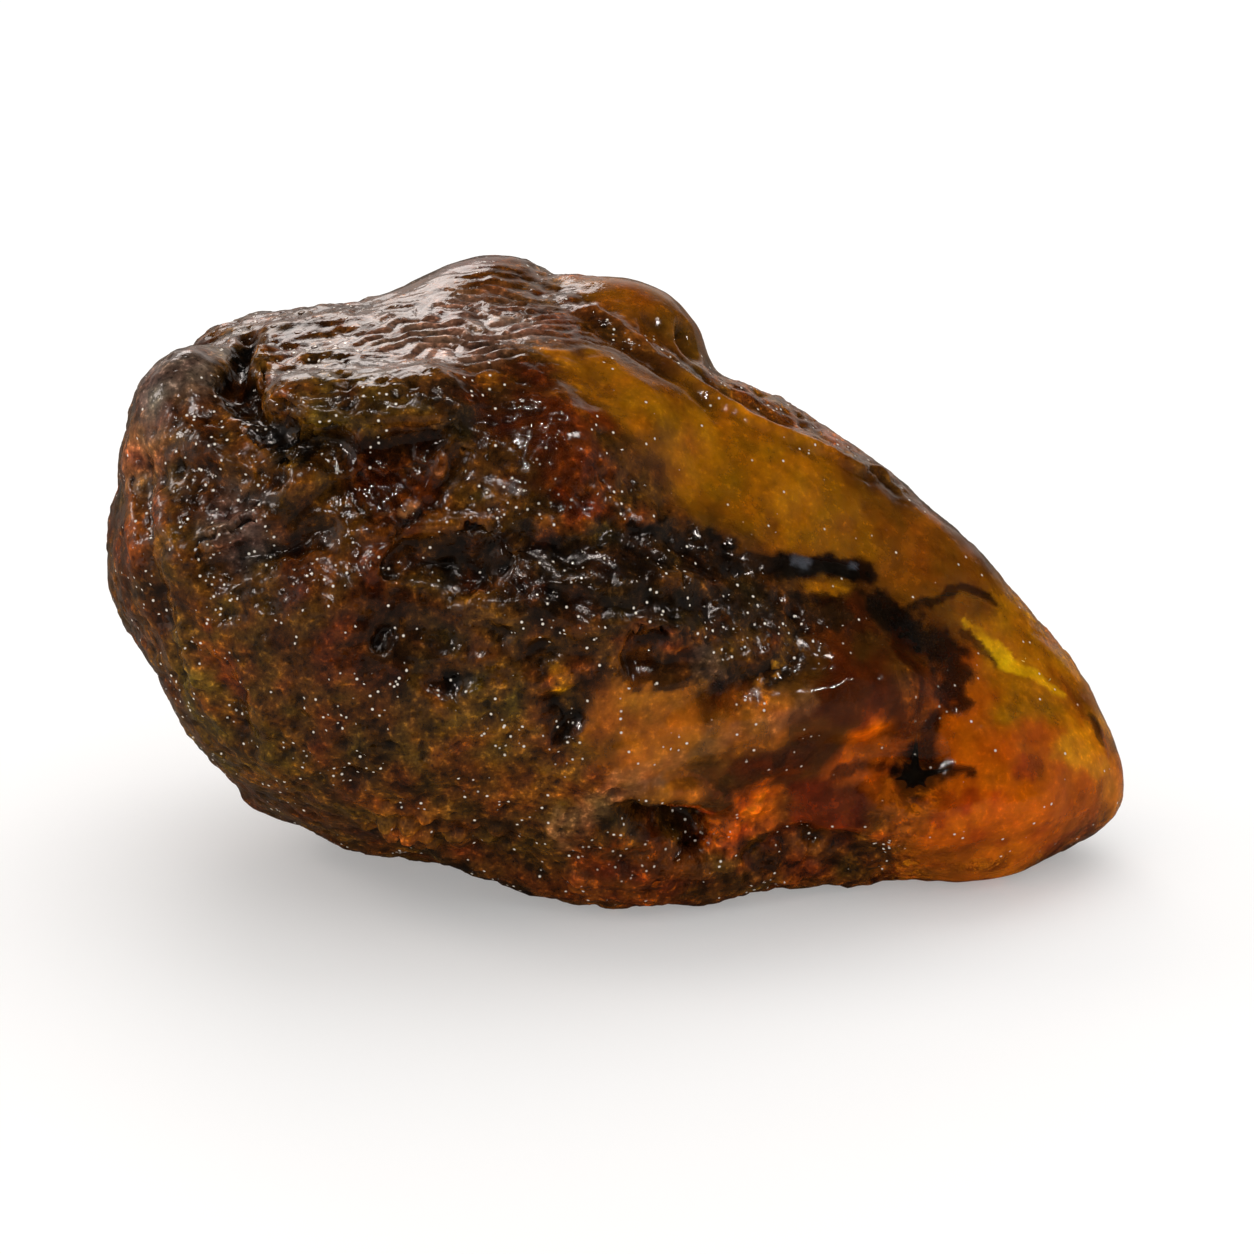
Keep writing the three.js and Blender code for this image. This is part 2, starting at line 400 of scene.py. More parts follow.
# %% Creases and folds
SHELL_RIM = [
    (-12, -12.6, 22.7), (-10.6, -12.2, 23.3), (-9.7, -12, 24.2),
    (-9, -11.8, 25.1), (-8.4, -11.6, 26),
]
CREASES = [
    ("cleft by the shoulder", [(-20, 1, 29.4), (-20.4, -3, 29), (-20.2, -5.6, 28.4)], 0.9, -1.2),
    ("cleft, turning", [(-20.2, -5.6, 28.4), (-19.4, -8, 27.9), (-18.4, -9.7, 27.8)], 1.1, -1.2),
    ("dark lip",
     [(-18.4, -9.7, 27.8), (-17.4, -10.7, 27.4), (-16.5, -11.1, 27.2), (-15, -11.4, 27.2)], 1.4, -1.6),
    ("lip, right part", [(-12.6, -11.6, 27.4), (-11.4, -11.6, 27.5), (-9.9, -11.6, 27.4)], 1.2, -0.9),
    ("under the shell's rim", SHELL_RIM, 0.9, -0.5),
    ("front of the roll", [(-16, -11.6, 27.6), (-12, -11.8, 27.6), (-6, -10.8, 27.8)], 4, -0.7),
    ("shoulder corner", [(-23.2, -4, 29), (-22.2, -2.6, 29.2)], 3.4, 0.3),
    ("low belly", [(-9, -9.6, 2.4), (-4, -9.2, 1.4), (1, -10, 1.6)], 2.8, 0.8),
    ("face of the roll", [(-18, -9.4, 28.2), (-14, -10, 28.2), (-9, -9.8, 28.4)], 2.2, 0.5),
    ("top of the red shelf", [(-6, -8.4, 29.2), (-1.6, -6.6, 28.4)], 4.4, -1),
    ("left end", [(-27, -3, 20), (-27, 3, 18)], 6, -0.5),
    ("left rim of the roll", [(-19.2, -2, 29.4), (-18.9, -6.5, 29)], 1.1, 0.6),
    ("ledge",
     [(-21.7, -12, 21.8), (-19.8, -12, 22.4), (-17.7, -11.5, 23.9), (-15.9, -11.6, 25.7)], 1.1, 0.9),
    ("gutter under the ledge", [(-21.4, -12, 20.4), (-18.8, -13, 21.4), (-15.6, -12.8, 22.6)], 1.4, -0.8),
    ("shell edge",
     [(-9, -11.5, 26.3), (-9.3, -11.7, 25.2), (-10.2, -12, 23.9),
      (-11.7, -12.4, 23.2), (-13.2, -12.6, 22.9)], 0.9, 0.6),
    ("shell hollow", [(-13.6, -11.8, 25.2), (-11.2, -11.9, 25.4)], 2.8, -0.9),
    ("left furrow", [(-25.6, -7.4, 24.6), (-24.6, -10, 21), (-24.2, -10.8, 17)], 1.6, -0.8),
    ("left furrow, lower", [(-22.6, -11.6, 18), (-21.4, -12.6, 14.6), (-20, -12.4, 11)], 1.7, -0.7),
    ("left roll", [(-24, -9.6, 23.4), (-22.8, -11.4, 20.4)], 1.7, 0.6),
    ("bulb roll", [(-21.6, -9.2, 26.6), (-19.6, -11, 25)], 1.5, 0.5),
    ("crater rim",
     [(-12.6, -13.5, 21.3), (-12.3, -12.8, 22.6), (-10.2, -12.3, 23.1),
      (-7.5, -12.5, 22.8), (-5.6, -13.2, 21.8)], 0.9, 0.8),
    ("crater", [(-10.6, -13.2, 21.2), (-7.4, -13.4, 20.6)], 1.8, -1.1),
    ("slanting swell", [(-7.4, -14, 18.4), (-4, -14.6, 17.4), (0, -14.4, 16.4)], 1.8, 0.4),
    ("dark band",
     [(-6.3, -12.8, 22.1), (-3.1, -12.9, 22.2), (0, -11.8, 22), (3.6, -9.9, 20.8)], 1.7, -0.45),
    ("band ridge",
     [(-7.3, -13.9, 19.4), (-4.2, -14.3, 19), (-1.1, -14.4, 18.2), (4.2, -13.2, 16.9)], 1.4, 0.5),
    ("band wrinkle",
     [(-3.1, -13.6, 20.7), (0, -13.8, 19.8), (1.5, -12.6, 20.3), (5.2, -10.5, 19)], 1, 0.35),
    ("under the band", [(-4, -14.6, 16.6), (-1, -14.6, 16.4), (3, -13.6, 15.8)], 1.5, -0.6),
    ("fold",
     [(-1.1, -14, 9.5), (2.1, -13.6, 11), (5.3, -13.2, 12.2),
      (8.5, -12.4, 12.9), (11.8, -10.7, 13.1), (15.2, -8.7, 12.5)], 2.6, 0.5),
    ("gutter above the fold", [(3, -13.6, 13.6), (7.4, -12.9, 14.4), (11, -10.8, 14.6)], 1.4, -0.4),
    ("recess", [(9.4, -12, 10.4), (13.3, -9.6, 9.4), (17, -9, 8.6)], 1.8, -0.4),
    ("black hole", [(1.2, -13.2, 6.9), (2.6, -12.4, 6.3), (3.9, -11.4, 5.5)], 1.6, -2.2),
    ("rim of the hole", [(1.4, -13.4, 8.3), (3.7, -12.9, 8.4), (5, -11.6, 7)], 1, 0.5),
    ("low lip", [(-2, -11, 2.8), (2, -11.6, 3.2), (6, -10.8, 3.4)], 1.6, 0.6),
    ("nose fold", [(12, -9, 5), (18, -9, 5.4), (22.4, -7.4, 5.6)], 2.4, 0.4),
    ("ridge line",
     [(-1.8, 2.6, 30), (1.4, 0.6, 28.6), (4.4, -0.9, 26.6),
      (7.6, -1, 24.6), (10, 0, 23.2), (14, 2.6, 20.6)], 0.9, 0.5),
    ("gutter before the ridge", [(-1.6, 0.8, 29.8), (2, -1.2, 27.8), (5, -2.4, 25.6)], 0.8, -0.25),
    ("gutter behind the ridge", [(2, 3.2, 28.9), (5.4, 1.6, 26.4), (9, 2.2, 24)], 1.6, -0.6),
    ("knob hollow", [(3.6, 4.6, 28), (4.8, 3.6, 27.4)], 1.4, -1.1),
    ("belly crease", [(6, -9.6, 3.6), (9, -9, 4.4), (12, -8.6, 4.2)], 1.3, -0.7),
    ("back crease", [(-18, 11.6, 22), (-10, 14, 17), (-4, 13.8, 10)], 2.2, -0.9),
    ("back roll", [(-20, 11, 16), (-12, 14, 11)], 2.8, 0.7),
    ("back scar", [(4, 12.4, 18), (10, 11, 14), (15, 9, 9)], 2, -0.7),
    ("left end crease", [(-27, 3, 24), (-27.2, 4, 16), (-25, 5, 9)], 2, -0.8),
    ("left end roll", [(-27.4, -3, 20), (-27, -2, 13)], 2.4, 0.5),
]
for name, path, width, height in CREASES:
    lift(along(skin_points() + 0.9 * wobble, path, width), height)
add_modifier(lump, "SMOOTH", factor=0.5, iterations=3)
print("creases and folds:", len(CREASES))

# %% [markdown]
# ## Where the skin is clear
#
# The crust has flaked off in places, and there the stone is clear. Those windows are balls on the
# skin, listed one by one: the whole sloping face, the nose, the recess under the fold, and small
# spots elsewhere. A noise frays their edges. What is left is crust.
#
# No window is wholly clear. Fine bubbles and cracks make the resin milky, more so in some parts,
# and where it is milky its own colour glows in the light. Last come the parts that water and sand
# have worn smooth. Each list gives a name, a middle, a radius and a share from 0 to 1.

# %% Clear windows
WINDOWS = [
    ("top of the slope", (1, -5, 27.4), 6.4, 1),
    ("slope", (5.5, -4.4, 23.6), 7.6, 1),
    ("slope, middle", (11, -2, 20.4), 7.6, 1),
    ("slope, right", (16, -1, 16.4), 8.4, 1),
    ("slope, end", (21, -2, 12), 8, 1),
    ("behind the ridge", (9, 5, 22.5), 8, 1),
    ("knob", (1, 7, 29), 6, 0.8),
    ("nose", (20, -7, 7.5), 10, 1),
    ("nose, low", (19, -6, 2), 8, 1),
    ("over the splinter", (10.8, -6, 18.3), 4, 1),
    ("over the dark cloud", (15.6, -5.2, 14.8), 5, 1),
    ("nose, back", (20, 3, 6), 9, 1),
    ("nose tip", (25, -1, 6), 7, 1),
    ("under the fold", (12, -10, 8.6), 6.8, 1),
    ("recess", (6.5, -12, 7.2), 4.8, 1),
    ("belly", (1, -12, 3), 5.5, 0.8),
    ("fold", (5, -13, 11), 5.4, 0.8),
    ("fold, right", (12, -10.6, 13), 4.8, 1),
    ("pink window", (0.6, -14.2, 12.6), 4.8, 1),
    ("red shelf", (-4.5, -9, 28), 4, 0.7),
    ("red patch", (-3.6, -11.6, 25), 3.8, 0.7),
    ("shell", (-12, -12, 25), 3, 0.5),
    ("left window", (-25, -7, 25), 2.2, 0.4),
    ("front spots", (-7, -14.4, 11), 5, 0.35),
    ("left end window", (-27, 4, 20), 3, 0.4),
    ("back window", (10, 10.5, 14), 11, 1),
    ("back, right end", (23, 5, 12), 9, 1),
    ("back, low", (8, 9, 3), 9, 1),
    ("back of the nose", (19, 7, 8), 8, 1),
    ("back left window", (-14, 13, 12), 4.5, 0.7),
    ("underside", (15, 0, 0), 10, 1),
    ("underside, left", (3, 3, 0), 9, 0.9),
]
MILKY_PARTS = [
    ("slope top", (1, -5, 27), 8, 0.8),
    ("slope", (6, -4, 23.4), 9, 0.65),
    ("slope, middle", (12, -3, 19.4), 9, 0.6),
    ("slope, right", (17, -2, 15.4), 8, 0.5),
    ("slope, end", (22, 0, 12), 7, 0.5),
    ("nose", (21, -5, 8), 9, 0.75),
    ("nose, low", (19, -7, 3), 7, 0.7),
    ("under the fold", (12, -10, 8), 6, 0.6),
    ("recess, left", (7, -11.4, 7), 4, 0.75),
    ("behind the ridge", (8, 4, 23.5), 8, 0.8),
    ("ridge, right end", (16, 4, 18), 7, 0.7),
    ("knob", (1, 7, 29), 8, 0.8),
    ("fold", (3, -13, 10.4), 5, 0.8),
    ("fold, middle", (7.4, -12.6, 12), 3.4, 0.75),
    ("fold, right", (12, -10.6, 12.8), 5, 0.85),
    ("pink window", (0.6, -14.2, 12.8), 5.4, 0.85),
    ("belly", (1, -12, 3), 5.5, 0.7),
    ("belly, right", (8, -9, 3.4), 4, 0.6),
    ("deep red", (10, -9.8, 5.8), 3.4, 0.8),
    ("tip", (26.6, -1, 5), 5, 0.85),
    ("back window", (10, 10.5, 14), 12, 0.75),
    ("back, right end", (23, 5, 12), 9, 0.7),
    ("back, low", (8, 9, 3), 10, 0.8),
    ("back of the nose", (19, 7, 8), 9, 0.75),
    ("back left window", (-14, 13, 12), 5, 0.7),
    ("red shelf", (-4, -10, 27), 6, 0.6),
]
SMOOTH_PARTS = [
    ("slope top", (1, -4, 27), 8, 0.9),
    ("slope", (6, -4, 23), 9, 1),
    ("slope, middle", (12, -4, 19), 9, 1),
    ("slope, right", (17, -3, 15), 10, 1),
    ("nose", (21, -4, 8), 11, 1),
    ("nose, low", (21, -6, 4), 9, 1),
    ("nose tip", (25, -2, 6), 6, 1),
    ("knob", (2, 6, 28), 7, 0.9),
    ("fold", (4, -13, 10), 6, 0.8),
    ("fold, right", (12, -11, 12), 7, 0.9),
    ("recess", (11, -11, 8), 7, 0.7),
    ("pink window", (1, -14, 12.6), 5, 0.7),
    ("red shelf", (-4, -9, 28), 5, 0.35),
    ("shell", (-12, -12, 25), 6, 1),
    ("shoulder", (-23, -4, 28.6), 5, 0.4),
    ("table", (-8, -1, 30), 10, 0.85),
    ("back bump", (-9, 7, 29.5), 6.5, 1),
    ("back", (12, 9, 15), 12, 0.8),
]


def mask(parts, at, sharpness):
    """The balls of a list laid over each other, each as strong as its share."""
    whole = np.zeros(len(at))
    for name, centre, radius, share in parts:
        patch = ease(sharpness * ball(at, centre, radius))
        whole = 1 - (1 - whole) * (1 - share * patch)
    return whole


FRAYED_EDGE = 3.4

points = skin_points()
fray = drift(points, 2.6, 4, (1, 2, 3))
frayed = points + FRAYED_EDGE * fray
clear = mask(WINDOWS, frayed, 1.6)
milk = np.clip(mask(MILKY_PARTS, points + fray, 1.8), 0, 0.9)
polish = mask(SMOOTH_PARTS, points + fray, 1.8)
print("clear share of the skin:", round(float(clear.mean()), 2))

# %% [markdown]
# ## Grain and pits
#
# The crust is rough in three sizes: lumps a few millimetres across, grains of half a millimetre,
# and round pits where sand and gas sat against the resin. The parts worn smooth have almost none
# of it, so the crust is first sunk a little and its lumps then rise out of it again.

# %% Grain and pits of the whole crust
CRUST_SINK = 0.55
LUMPS = [(4.2, 3, 11, 0.7), (1.5, 3, 12, 0.22)]
GRAIN_ACROSS = 0.75
GRAIN_HEIGHT = 0.2
SWELL_HEIGHT = 0.15
PIT_PITCH, PIT_RADIUS, PIT_DEPTH = 1.9, 0.34, 0.6
SMALL_PIT_PITCH, SMALL_PIT_RADIUS, SMALL_PIT_DEPTH = 0.95, 0.42, 0.22

crust = 1 - polish
lift(crust, -CRUST_SINK)
for across, octaves, seed, height in LUMPS:
    lift(crust * clouds(points, across, octaves, seed), height)
lift(np.clip(0.1 + crust, 0, 1) * clouds(points, GRAIN_ACROSS, 2, 13), GRAIN_HEIGHT)
pitted = crust * ease(2.2 * (clouds(points, 6, 2, 14) - 0.35))
lift(pitted * ease(1 - cells(points + 0.8 * fray, PIT_PITCH, 1) / PIT_RADIUS), -PIT_DEPTH)
lift(crust * ease(1 - cells(points, SMALL_PIT_PITCH, 2) / SMALL_PIT_RADIUS), -SMALL_PIT_DEPTH)
lift((1 - crust) * clouds(points, 2.4, 2, 15), SWELL_HEIGHT)
print("rough share of the skin:", round(float(crust.mean()), 2))

# %% [markdown]
# ### Ropes on the flat top
#
# The flat top carries fine ropes, the wrinkles of a skin that dried while it still flowed. They
# are a wave across the top, bent by a noise.

# %% Ropes on the flat top
ROPE_PITCH = 1.1
ROPE_HEIGHT = 0.5
table = ball(points, (-8, -1, 29.8), 11) * ease((points[:, 2] - 27.6) / 1.6)
bend = 6 * clouds(points, 6, 3, 21) + 1.6 * clouds(points, 1.6, 2, 22)
ropes = 0.5 + 0.5 * np.sin(2 * np.pi * (points[:, 1] - 0.16 * points[:, 0] + bend) / ROPE_PITCH)
lift(table * ropes * clouds(points, 3, 2, 23), ROPE_HEIGHT)
print("share of the skin with ropes:", round(float((table > 0).mean()), 2))

# %% [markdown]
# ### Pits, grains and ripples one by one
#
# Some marks are too large to leave to a noise: ten pits, four patches of coarse grains along the
# foot, and the shell-shaped scar, where a chip split off and left ripples round the point it was
# struck at.

# %% Pits, grains and ripples one by one
PITS = [
    ((-9.4, -15, 15.6), 1.3, 0.9),
    ((-3, -14.6, 13.4), 1.4, 1.0),
    ((-13, -14.6, 17.2), 1.0, 0.8),
    ((-20.2, -12.6, 18.2), 1.2, 0.8),
    ((-16.6, -13.8, 12.6), 1.2, 0.7),
    ((-6.6, -14.4, 17.6), 1.0, 0.7),
    ((-23, -10.6, 15), 1.0, 0.7),
    ((-14.4, -13.4, 9.6), 1.2, 0.8),
    ((1.4, -14.4, 16.4), 1.4, 0.9),
    ((-11.6, -12.9, 21.4), 0.9, 0.8),
]
GRAINY_SPOTS = [
    ((-11.4, -11, 5.2), 3.2, 0.9), ((-7, -12, 5), 2.4, 0.6),
    ((6.4, -10.6, 6), 2.2, 0.5), ((9, -9.2, 3), 3, 0.6),
]
SHELL_POINT = (-8.4, -10.8, 27.4)
RIPPLE_PITCH = 0.75
RIPPLE_HEIGHT = 0.28

for centre, radius, depth in PITS:
    lift(ball(skin_points() + 2.2 * wobble + fray, centre, 1.3 * radius), -0.8 * depth)
to_grain = cells(skin_points(), 1.15, 3)
for centre, radius, height in GRAINY_SPOTS:
    lift(ball(skin_points(), centre, radius) ** 0.5 * ease(1.25 - to_grain / 0.55), height)
from_point = np.linalg.norm(skin_points() - np.array(SHELL_POINT), axis=1)
ripples = 0.5 + 0.5 * np.sin(2 * np.pi * (from_point + 0.5 * clouds(points, 1.8, 2, 24)) / RIPPLE_PITCH)
lift(ball(skin_points(), (-12.4, -12, 25), 3.6) ** 0.5 * ripples, RIPPLE_HEIGHT)
print("pits by hand:", len(PITS), "grainy spots:", len(GRAINY_SPOTS))

# %% [markdown]
# ## Hollows and crests
#
# The crust is painted darker in its hollows, as shade, and lighter on its crests, as light. To
# know which is which, a copy of the skin is smoothed, and the skin is later compared with it.

# %% A smoothed copy of the skin
SMOOTHING_ROUNDS = 28

smooth_copy = lump.copy()
smooth_copy.data = lump.data.copy()
bpy.context.scene.collection.objects.link(smooth_copy)
add_modifier(smooth_copy, "SMOOTH", factor=0.5, iterations=SMOOTHING_ROUNDS)
smooth = np.empty(3 * len(lump.data.vertices))
smooth_copy.data.vertices.foreach_get("co", smooth)
smooth = smooth.reshape(-1, 3) / MM
bpy.data.objects.remove(smooth_copy)
print("points of the smoothed copy:", len(smooth))

# %% [markdown]
# ### Foot
#
# The stone rests on its underside. The relief has pushed some points of that side through the
# floor, so every point that is too low is moved straight up to a hair above the floor. That
# leaves small flat feet, like the worn spots on which a real piece stands.

# %% Flatten the foot
FOOT_LIMIT = 0.05

feet = skin_points()
too_low = int((feet[:, 2] < FOOT_LIMIT).sum())
feet[:, 2] = np.maximum(feet[:, 2], FOOT_LIMIT)
lump.data.vertices.foreach_set("co", (feet * MM).ravel())
lump.data.update()
print("points flattened under the foot:", too_low)

# %% [markdown]
# ### Relief
#
# How far a point stands out from the smoothed copy, measured along its normal, tells the crests
# from the hollows.

# %% Compare the skin with the smoothed copy
normals = np.empty(3 * len(lump.data.vertices))
lump.data.vertex_normals.foreach_get("vector", normals)
proud = np.einsum("ij,ij->i", skin_points() - smooth, normals.reshape(-1, 3))
print("relief, mm:", round(float(proud.min()), 2), "to", round(float(proud.max()), 2))

# %% [markdown]
# ## Colours
#
# The crust isn't one brown. It goes from olive at the low left, through umber and rust, to soot
# in the cracked band, and the resin under the windows goes from mustard to orange. The palette
# has a few named colours. Each patch is a ball with one of them, frayed by the same noise. A few
# stand in for light: the pale pearl, the crest colour and the lilac are painted sheen on the
# shoulder, the bulb top, the ledge and the flat top.

# %% Palette
def linear(level):
    """The linear value of a screen value from 0 to 255."""
    return level / 255 / 12.92 if level < 10 else ((level / 255 + 0.055) / 1.055) ** 2.4


def colour(red, green, blue):
    """A linear colour from three screen values."""
    return [linear(red), linear(green), linear(blue)]


UMBER = colour(86, 48, 9)
OLIVE = colour(92, 60, 9)
RUST = colour(122, 54, 6)
BROWN_RED = colour(74, 30, 4)
# Soot black, and also the painted shade in the cleft, under the lip, in the black hole and just outside the
# shell's rim.
SOOT_AND_SHADE = colour(18, 10, 4)
BARK = colour(40, 24, 7)
MUSTARD = colour(178, 106, 4)
HONEY = colour(232, 140, 5)
ORANGE = colour(255, 112, 2)
BLOOD = colour(150, 40, 2)
OCHRE = colour(148, 82, 8)
SAND = colour(195, 108, 22)
LEMON = colour(255, 186, 4)
AMBER = colour(204, 92, 1)
# A blue grey that paints highlights on the splinter.
PAINTED_SHINE = colour(92, 96, 104)
EMBER = colour(106, 42, 4)
GOLD = colour(255, 150, 16)
CREST = colour(158, 100, 56)
WINE = colour(106, 34, 3)
# A pale pearl that paints sheen on the shoulder and the ledge.
SHEEN_PEARL = colour(96, 76, 64)
# A lilac grey; on the flat top it is painted sheen.
LILAC = colour(112, 78, 60)
print("darkest colour, linear:", [round(level, 4) for level in SOOT_AND_SHADE])

# %% Patches of colour
PATCHES = [
    ("left bulb", (-23, -8, 20), 11, UMBER, 1),
    ("left end", (-27, 2, 18), 11, UMBER, 0.8),
    ("shoulder", (-23, -4, 28), 5, UMBER, 0.8),
    ("shoulder rust", (-24.4, -7.4, 26.4), 2.6, RUST, 0.5),
    ("end rust", (-25.6, -8, 21), 2.4, RUST, 0.4),
    ("roll face", (-14, -9.8, 28.6), 4.6, OLIVE, 1),
    ("roll face, right", (-8, -9.8, 29), 3.4, BARK, 0.9),
    ("roll face, dark", (-13, -9.6, 28.4), 5, BARK, 0.45),
    ("yellow on the roll", (-6, -7.4, 29.6), 1.5, MUSTARD, 0.8),
    ("yellow on the roll, right", (-3.2, -4.2, 29.8), 1.4, MUSTARD, 0.7),
    ("red shelf", (-4.6, -8.8, 28.4), 4.4, BROWN_RED, 1),
    ("red patch", (-2.8, -9, 27), 3.6, EMBER, 1),
    ("red patch, low", (-2, -11.4, 24.6), 3.4, EMBER, 1),
    ("shell", (-12, -12, 25.2), 4.4, BROWN_RED, 1),
    ("left olive", (-21, -12, 16), 5, OLIVE, 0.7),
    ("left low olive", (-21, -11.4, 10), 7, OLIVE, 0.9),
    ("left rust spot", (-20.4, -12.4, 14.6), 2.4, RUST, 0.8),
    ("left rust spot, high", (-21.4, -11.8, 17.4), 1.6, RUST, 0.7),
    ("front brown", (-13, -14, 18), 6, BROWN_RED, 0.8),
    ("front dark", (-10.6, -14.6, 16.6), 5, BARK, 0.5),
    ("crater floor", (-8.8, -13.2, 20.8), 2.4, BARK, 0.9),
    ("band below", (2, -13.4, 17), 3.4, BROWN_RED, 0.8),
    ("yellow under the splinter", (10.4, -7.4, 17.2), 1.5, HONEY, 0.9),
    ("brown under the splinter", (11.4, -8.4, 15.8), 3, BROWN_RED, 1),
    ("semi-clear olive", (11.6, -9.8, 14), 2.8, RUST, 0.6),
    ("orange by the crack", (18.4, -2.8, 14.8), 1.8, HONEY, 0.7),
    ("front olive", (-8, -14.6, 13), 6, OLIVE, 0.7),
    ("front ochre", (-6, -14, 9.6), 5, OCHRE, 0.35),
    ("pit", (-9.4, -15, 15.6), 1.5, SOOT_AND_SHADE, 1),
    ("pit, right", (-3, -14.6, 13.4), 1.6, SOOT_AND_SHADE, 1),
    ("pink window", (1.6, -14.2, 13), 4.6, SAND, 0.8),
    ("under the pink window", (-1.6, -14.2, 10), 3.6, OCHRE, 0.55),
    ("fold", (2.6, -13.4, 9.8), 3.4, SAND, 0.7),
    ("fold, middle", (7, -12.8, 11.8), 3, SAND, 0.8),
    ("fold, right", (12, -10.6, 13.2), 3.6, BROWN_RED, 1),
    ("below the fold", (8.4, -11.6, 9.6), 3, BROWN_RED, 0.8),
    ("grains", (-11.4, -11.6, 6), 4, OCHRE, 0.3),
    ("low belly", (0, -11, 2.6), 5.4, RUST, 0.8),
    ("right of the hole", (6.6, -10.8, 6), 3.2, ORANGE, 0.8),
    ("belly spots", (9.6, -9, 2.6), 3.4, RUST, 0.8),
    ("dark above the recess", (14, -9.4, 11.4), 3.4, BROWN_RED, 1),
    ("recess glow", (13.2, -9.5, 8.8), 3.3, ORANGE, 1),
    ("nose", (20, -6, 6.5), 11, AMBER, 1),
    ("deep red", (11.2, -9.7, 6.2), 3.4, WINE, 1),
    ("orange under the deep red", (14.4, -9, 4.4), 1.6, ORANGE, 0.6),
    ("right rim", (25, 3, 9), 6, HONEY, 1),
    ("nose top", (22, -3.6, 10.6), 4.4, MUSTARD, 0.9),
    ("nose, yellow", (24.4, -3.8, 7.2), 2.8, HONEY, 1),
    ("under the nose", (18.4, -8, 1.8), 3.2, RUST, 0.7),
    ("nose tip", (26.6, -2.6, 4.6), 3.4, SAND, 0.9),
    ("tip, back", (26, 2, 7), 4, HONEY, 0.8),
    ("slope top", (0, -4.6, 28), 4.6, MUSTARD, 0.8),
    ("slope", (5.5, -4.4, 23.6), 6.4, MUSTARD, 1),
    ("slope, middle", (10.5, -3, 20.4), 6.4, MUSTARD, 1),
    ("slope, right", (16, -2, 16.4), 6.6, OCHRE, 0.8),
    ("slope, end", (21, -2, 12.6), 5.4, MUSTARD, 0.9),
    ("behind the ridge", (9, 5, 22.5), 8, OCHRE, 0.9),
    ("right end", (23, 4, 12), 7, MUSTARD, 0.9),
    ("knob", (1, 7, 29), 6.4, OCHRE, 0.8),
    ("knob, right side", (4.4, 5, 28.6), 4, OLIVE, 0.7),
    ("bump", (-8, 8, 29), 5, BROWN_RED, 0.8),
    # Painted sheen: pale patches on the shoulder, the bulb top and the ledge, where the wet skin shines.
    ("shoulder, worn", (-24, -4.6, 28.2), 4.8, SHEEN_PEARL, 0.9),
    ("bulb top, worn", (-25.4, -7, 25), 3.8, CREST, 0.7),
    ("ledge, worn", (-19.6, -11.4, 22), 3.6, SHEEN_PEARL, 0.8),
    # Painted sheen: the flat top is painted lilac grey, the colour of its shine.
    ("table", (-9, -1, 30), 8, LILAC, 0.9),
    ("table, right", (-3, 0.4, 30), 4, BROWN_RED, 0.6),
    ("back, low", (9, 9, 4), 8, RUST, 1),
    ("back window", (10, 10.5, 15), 8, OCHRE, 1),
    ("back of the nose", (19, 7, 8), 8, AMBER, 0.9),
    ("back left window", (-14, 13, 12), 5, RUST, 0.8),
    ("back olive", (-4, 14, 20), 7, OLIVE, 0.7),
    ("back soot", (2, 13.4, 8), 5, BARK, 0.8),
]
blotches = 0.5 + polish / 2 + (1 - 0.7 * polish) * clouds(points, 1.3, 4, 31)
tone = np.tile(np.array(UMBER), (len(points), 1))


def paint_over(weights, paint):
    """Lays a colour over the tones of the skin, as much as weights from 0 to 1 say."""
    weights = np.clip(weights, 0, 1)[:, None]
    return tone * (1 - weights) + np.array(paint) * weights


for name, centre, radius, paint, share in PATCHES:
    tone = paint_over(share * blotches * ease(1.5 * ball(frayed, centre, radius)), paint)
print("patches of colour:", len(PATCHES))
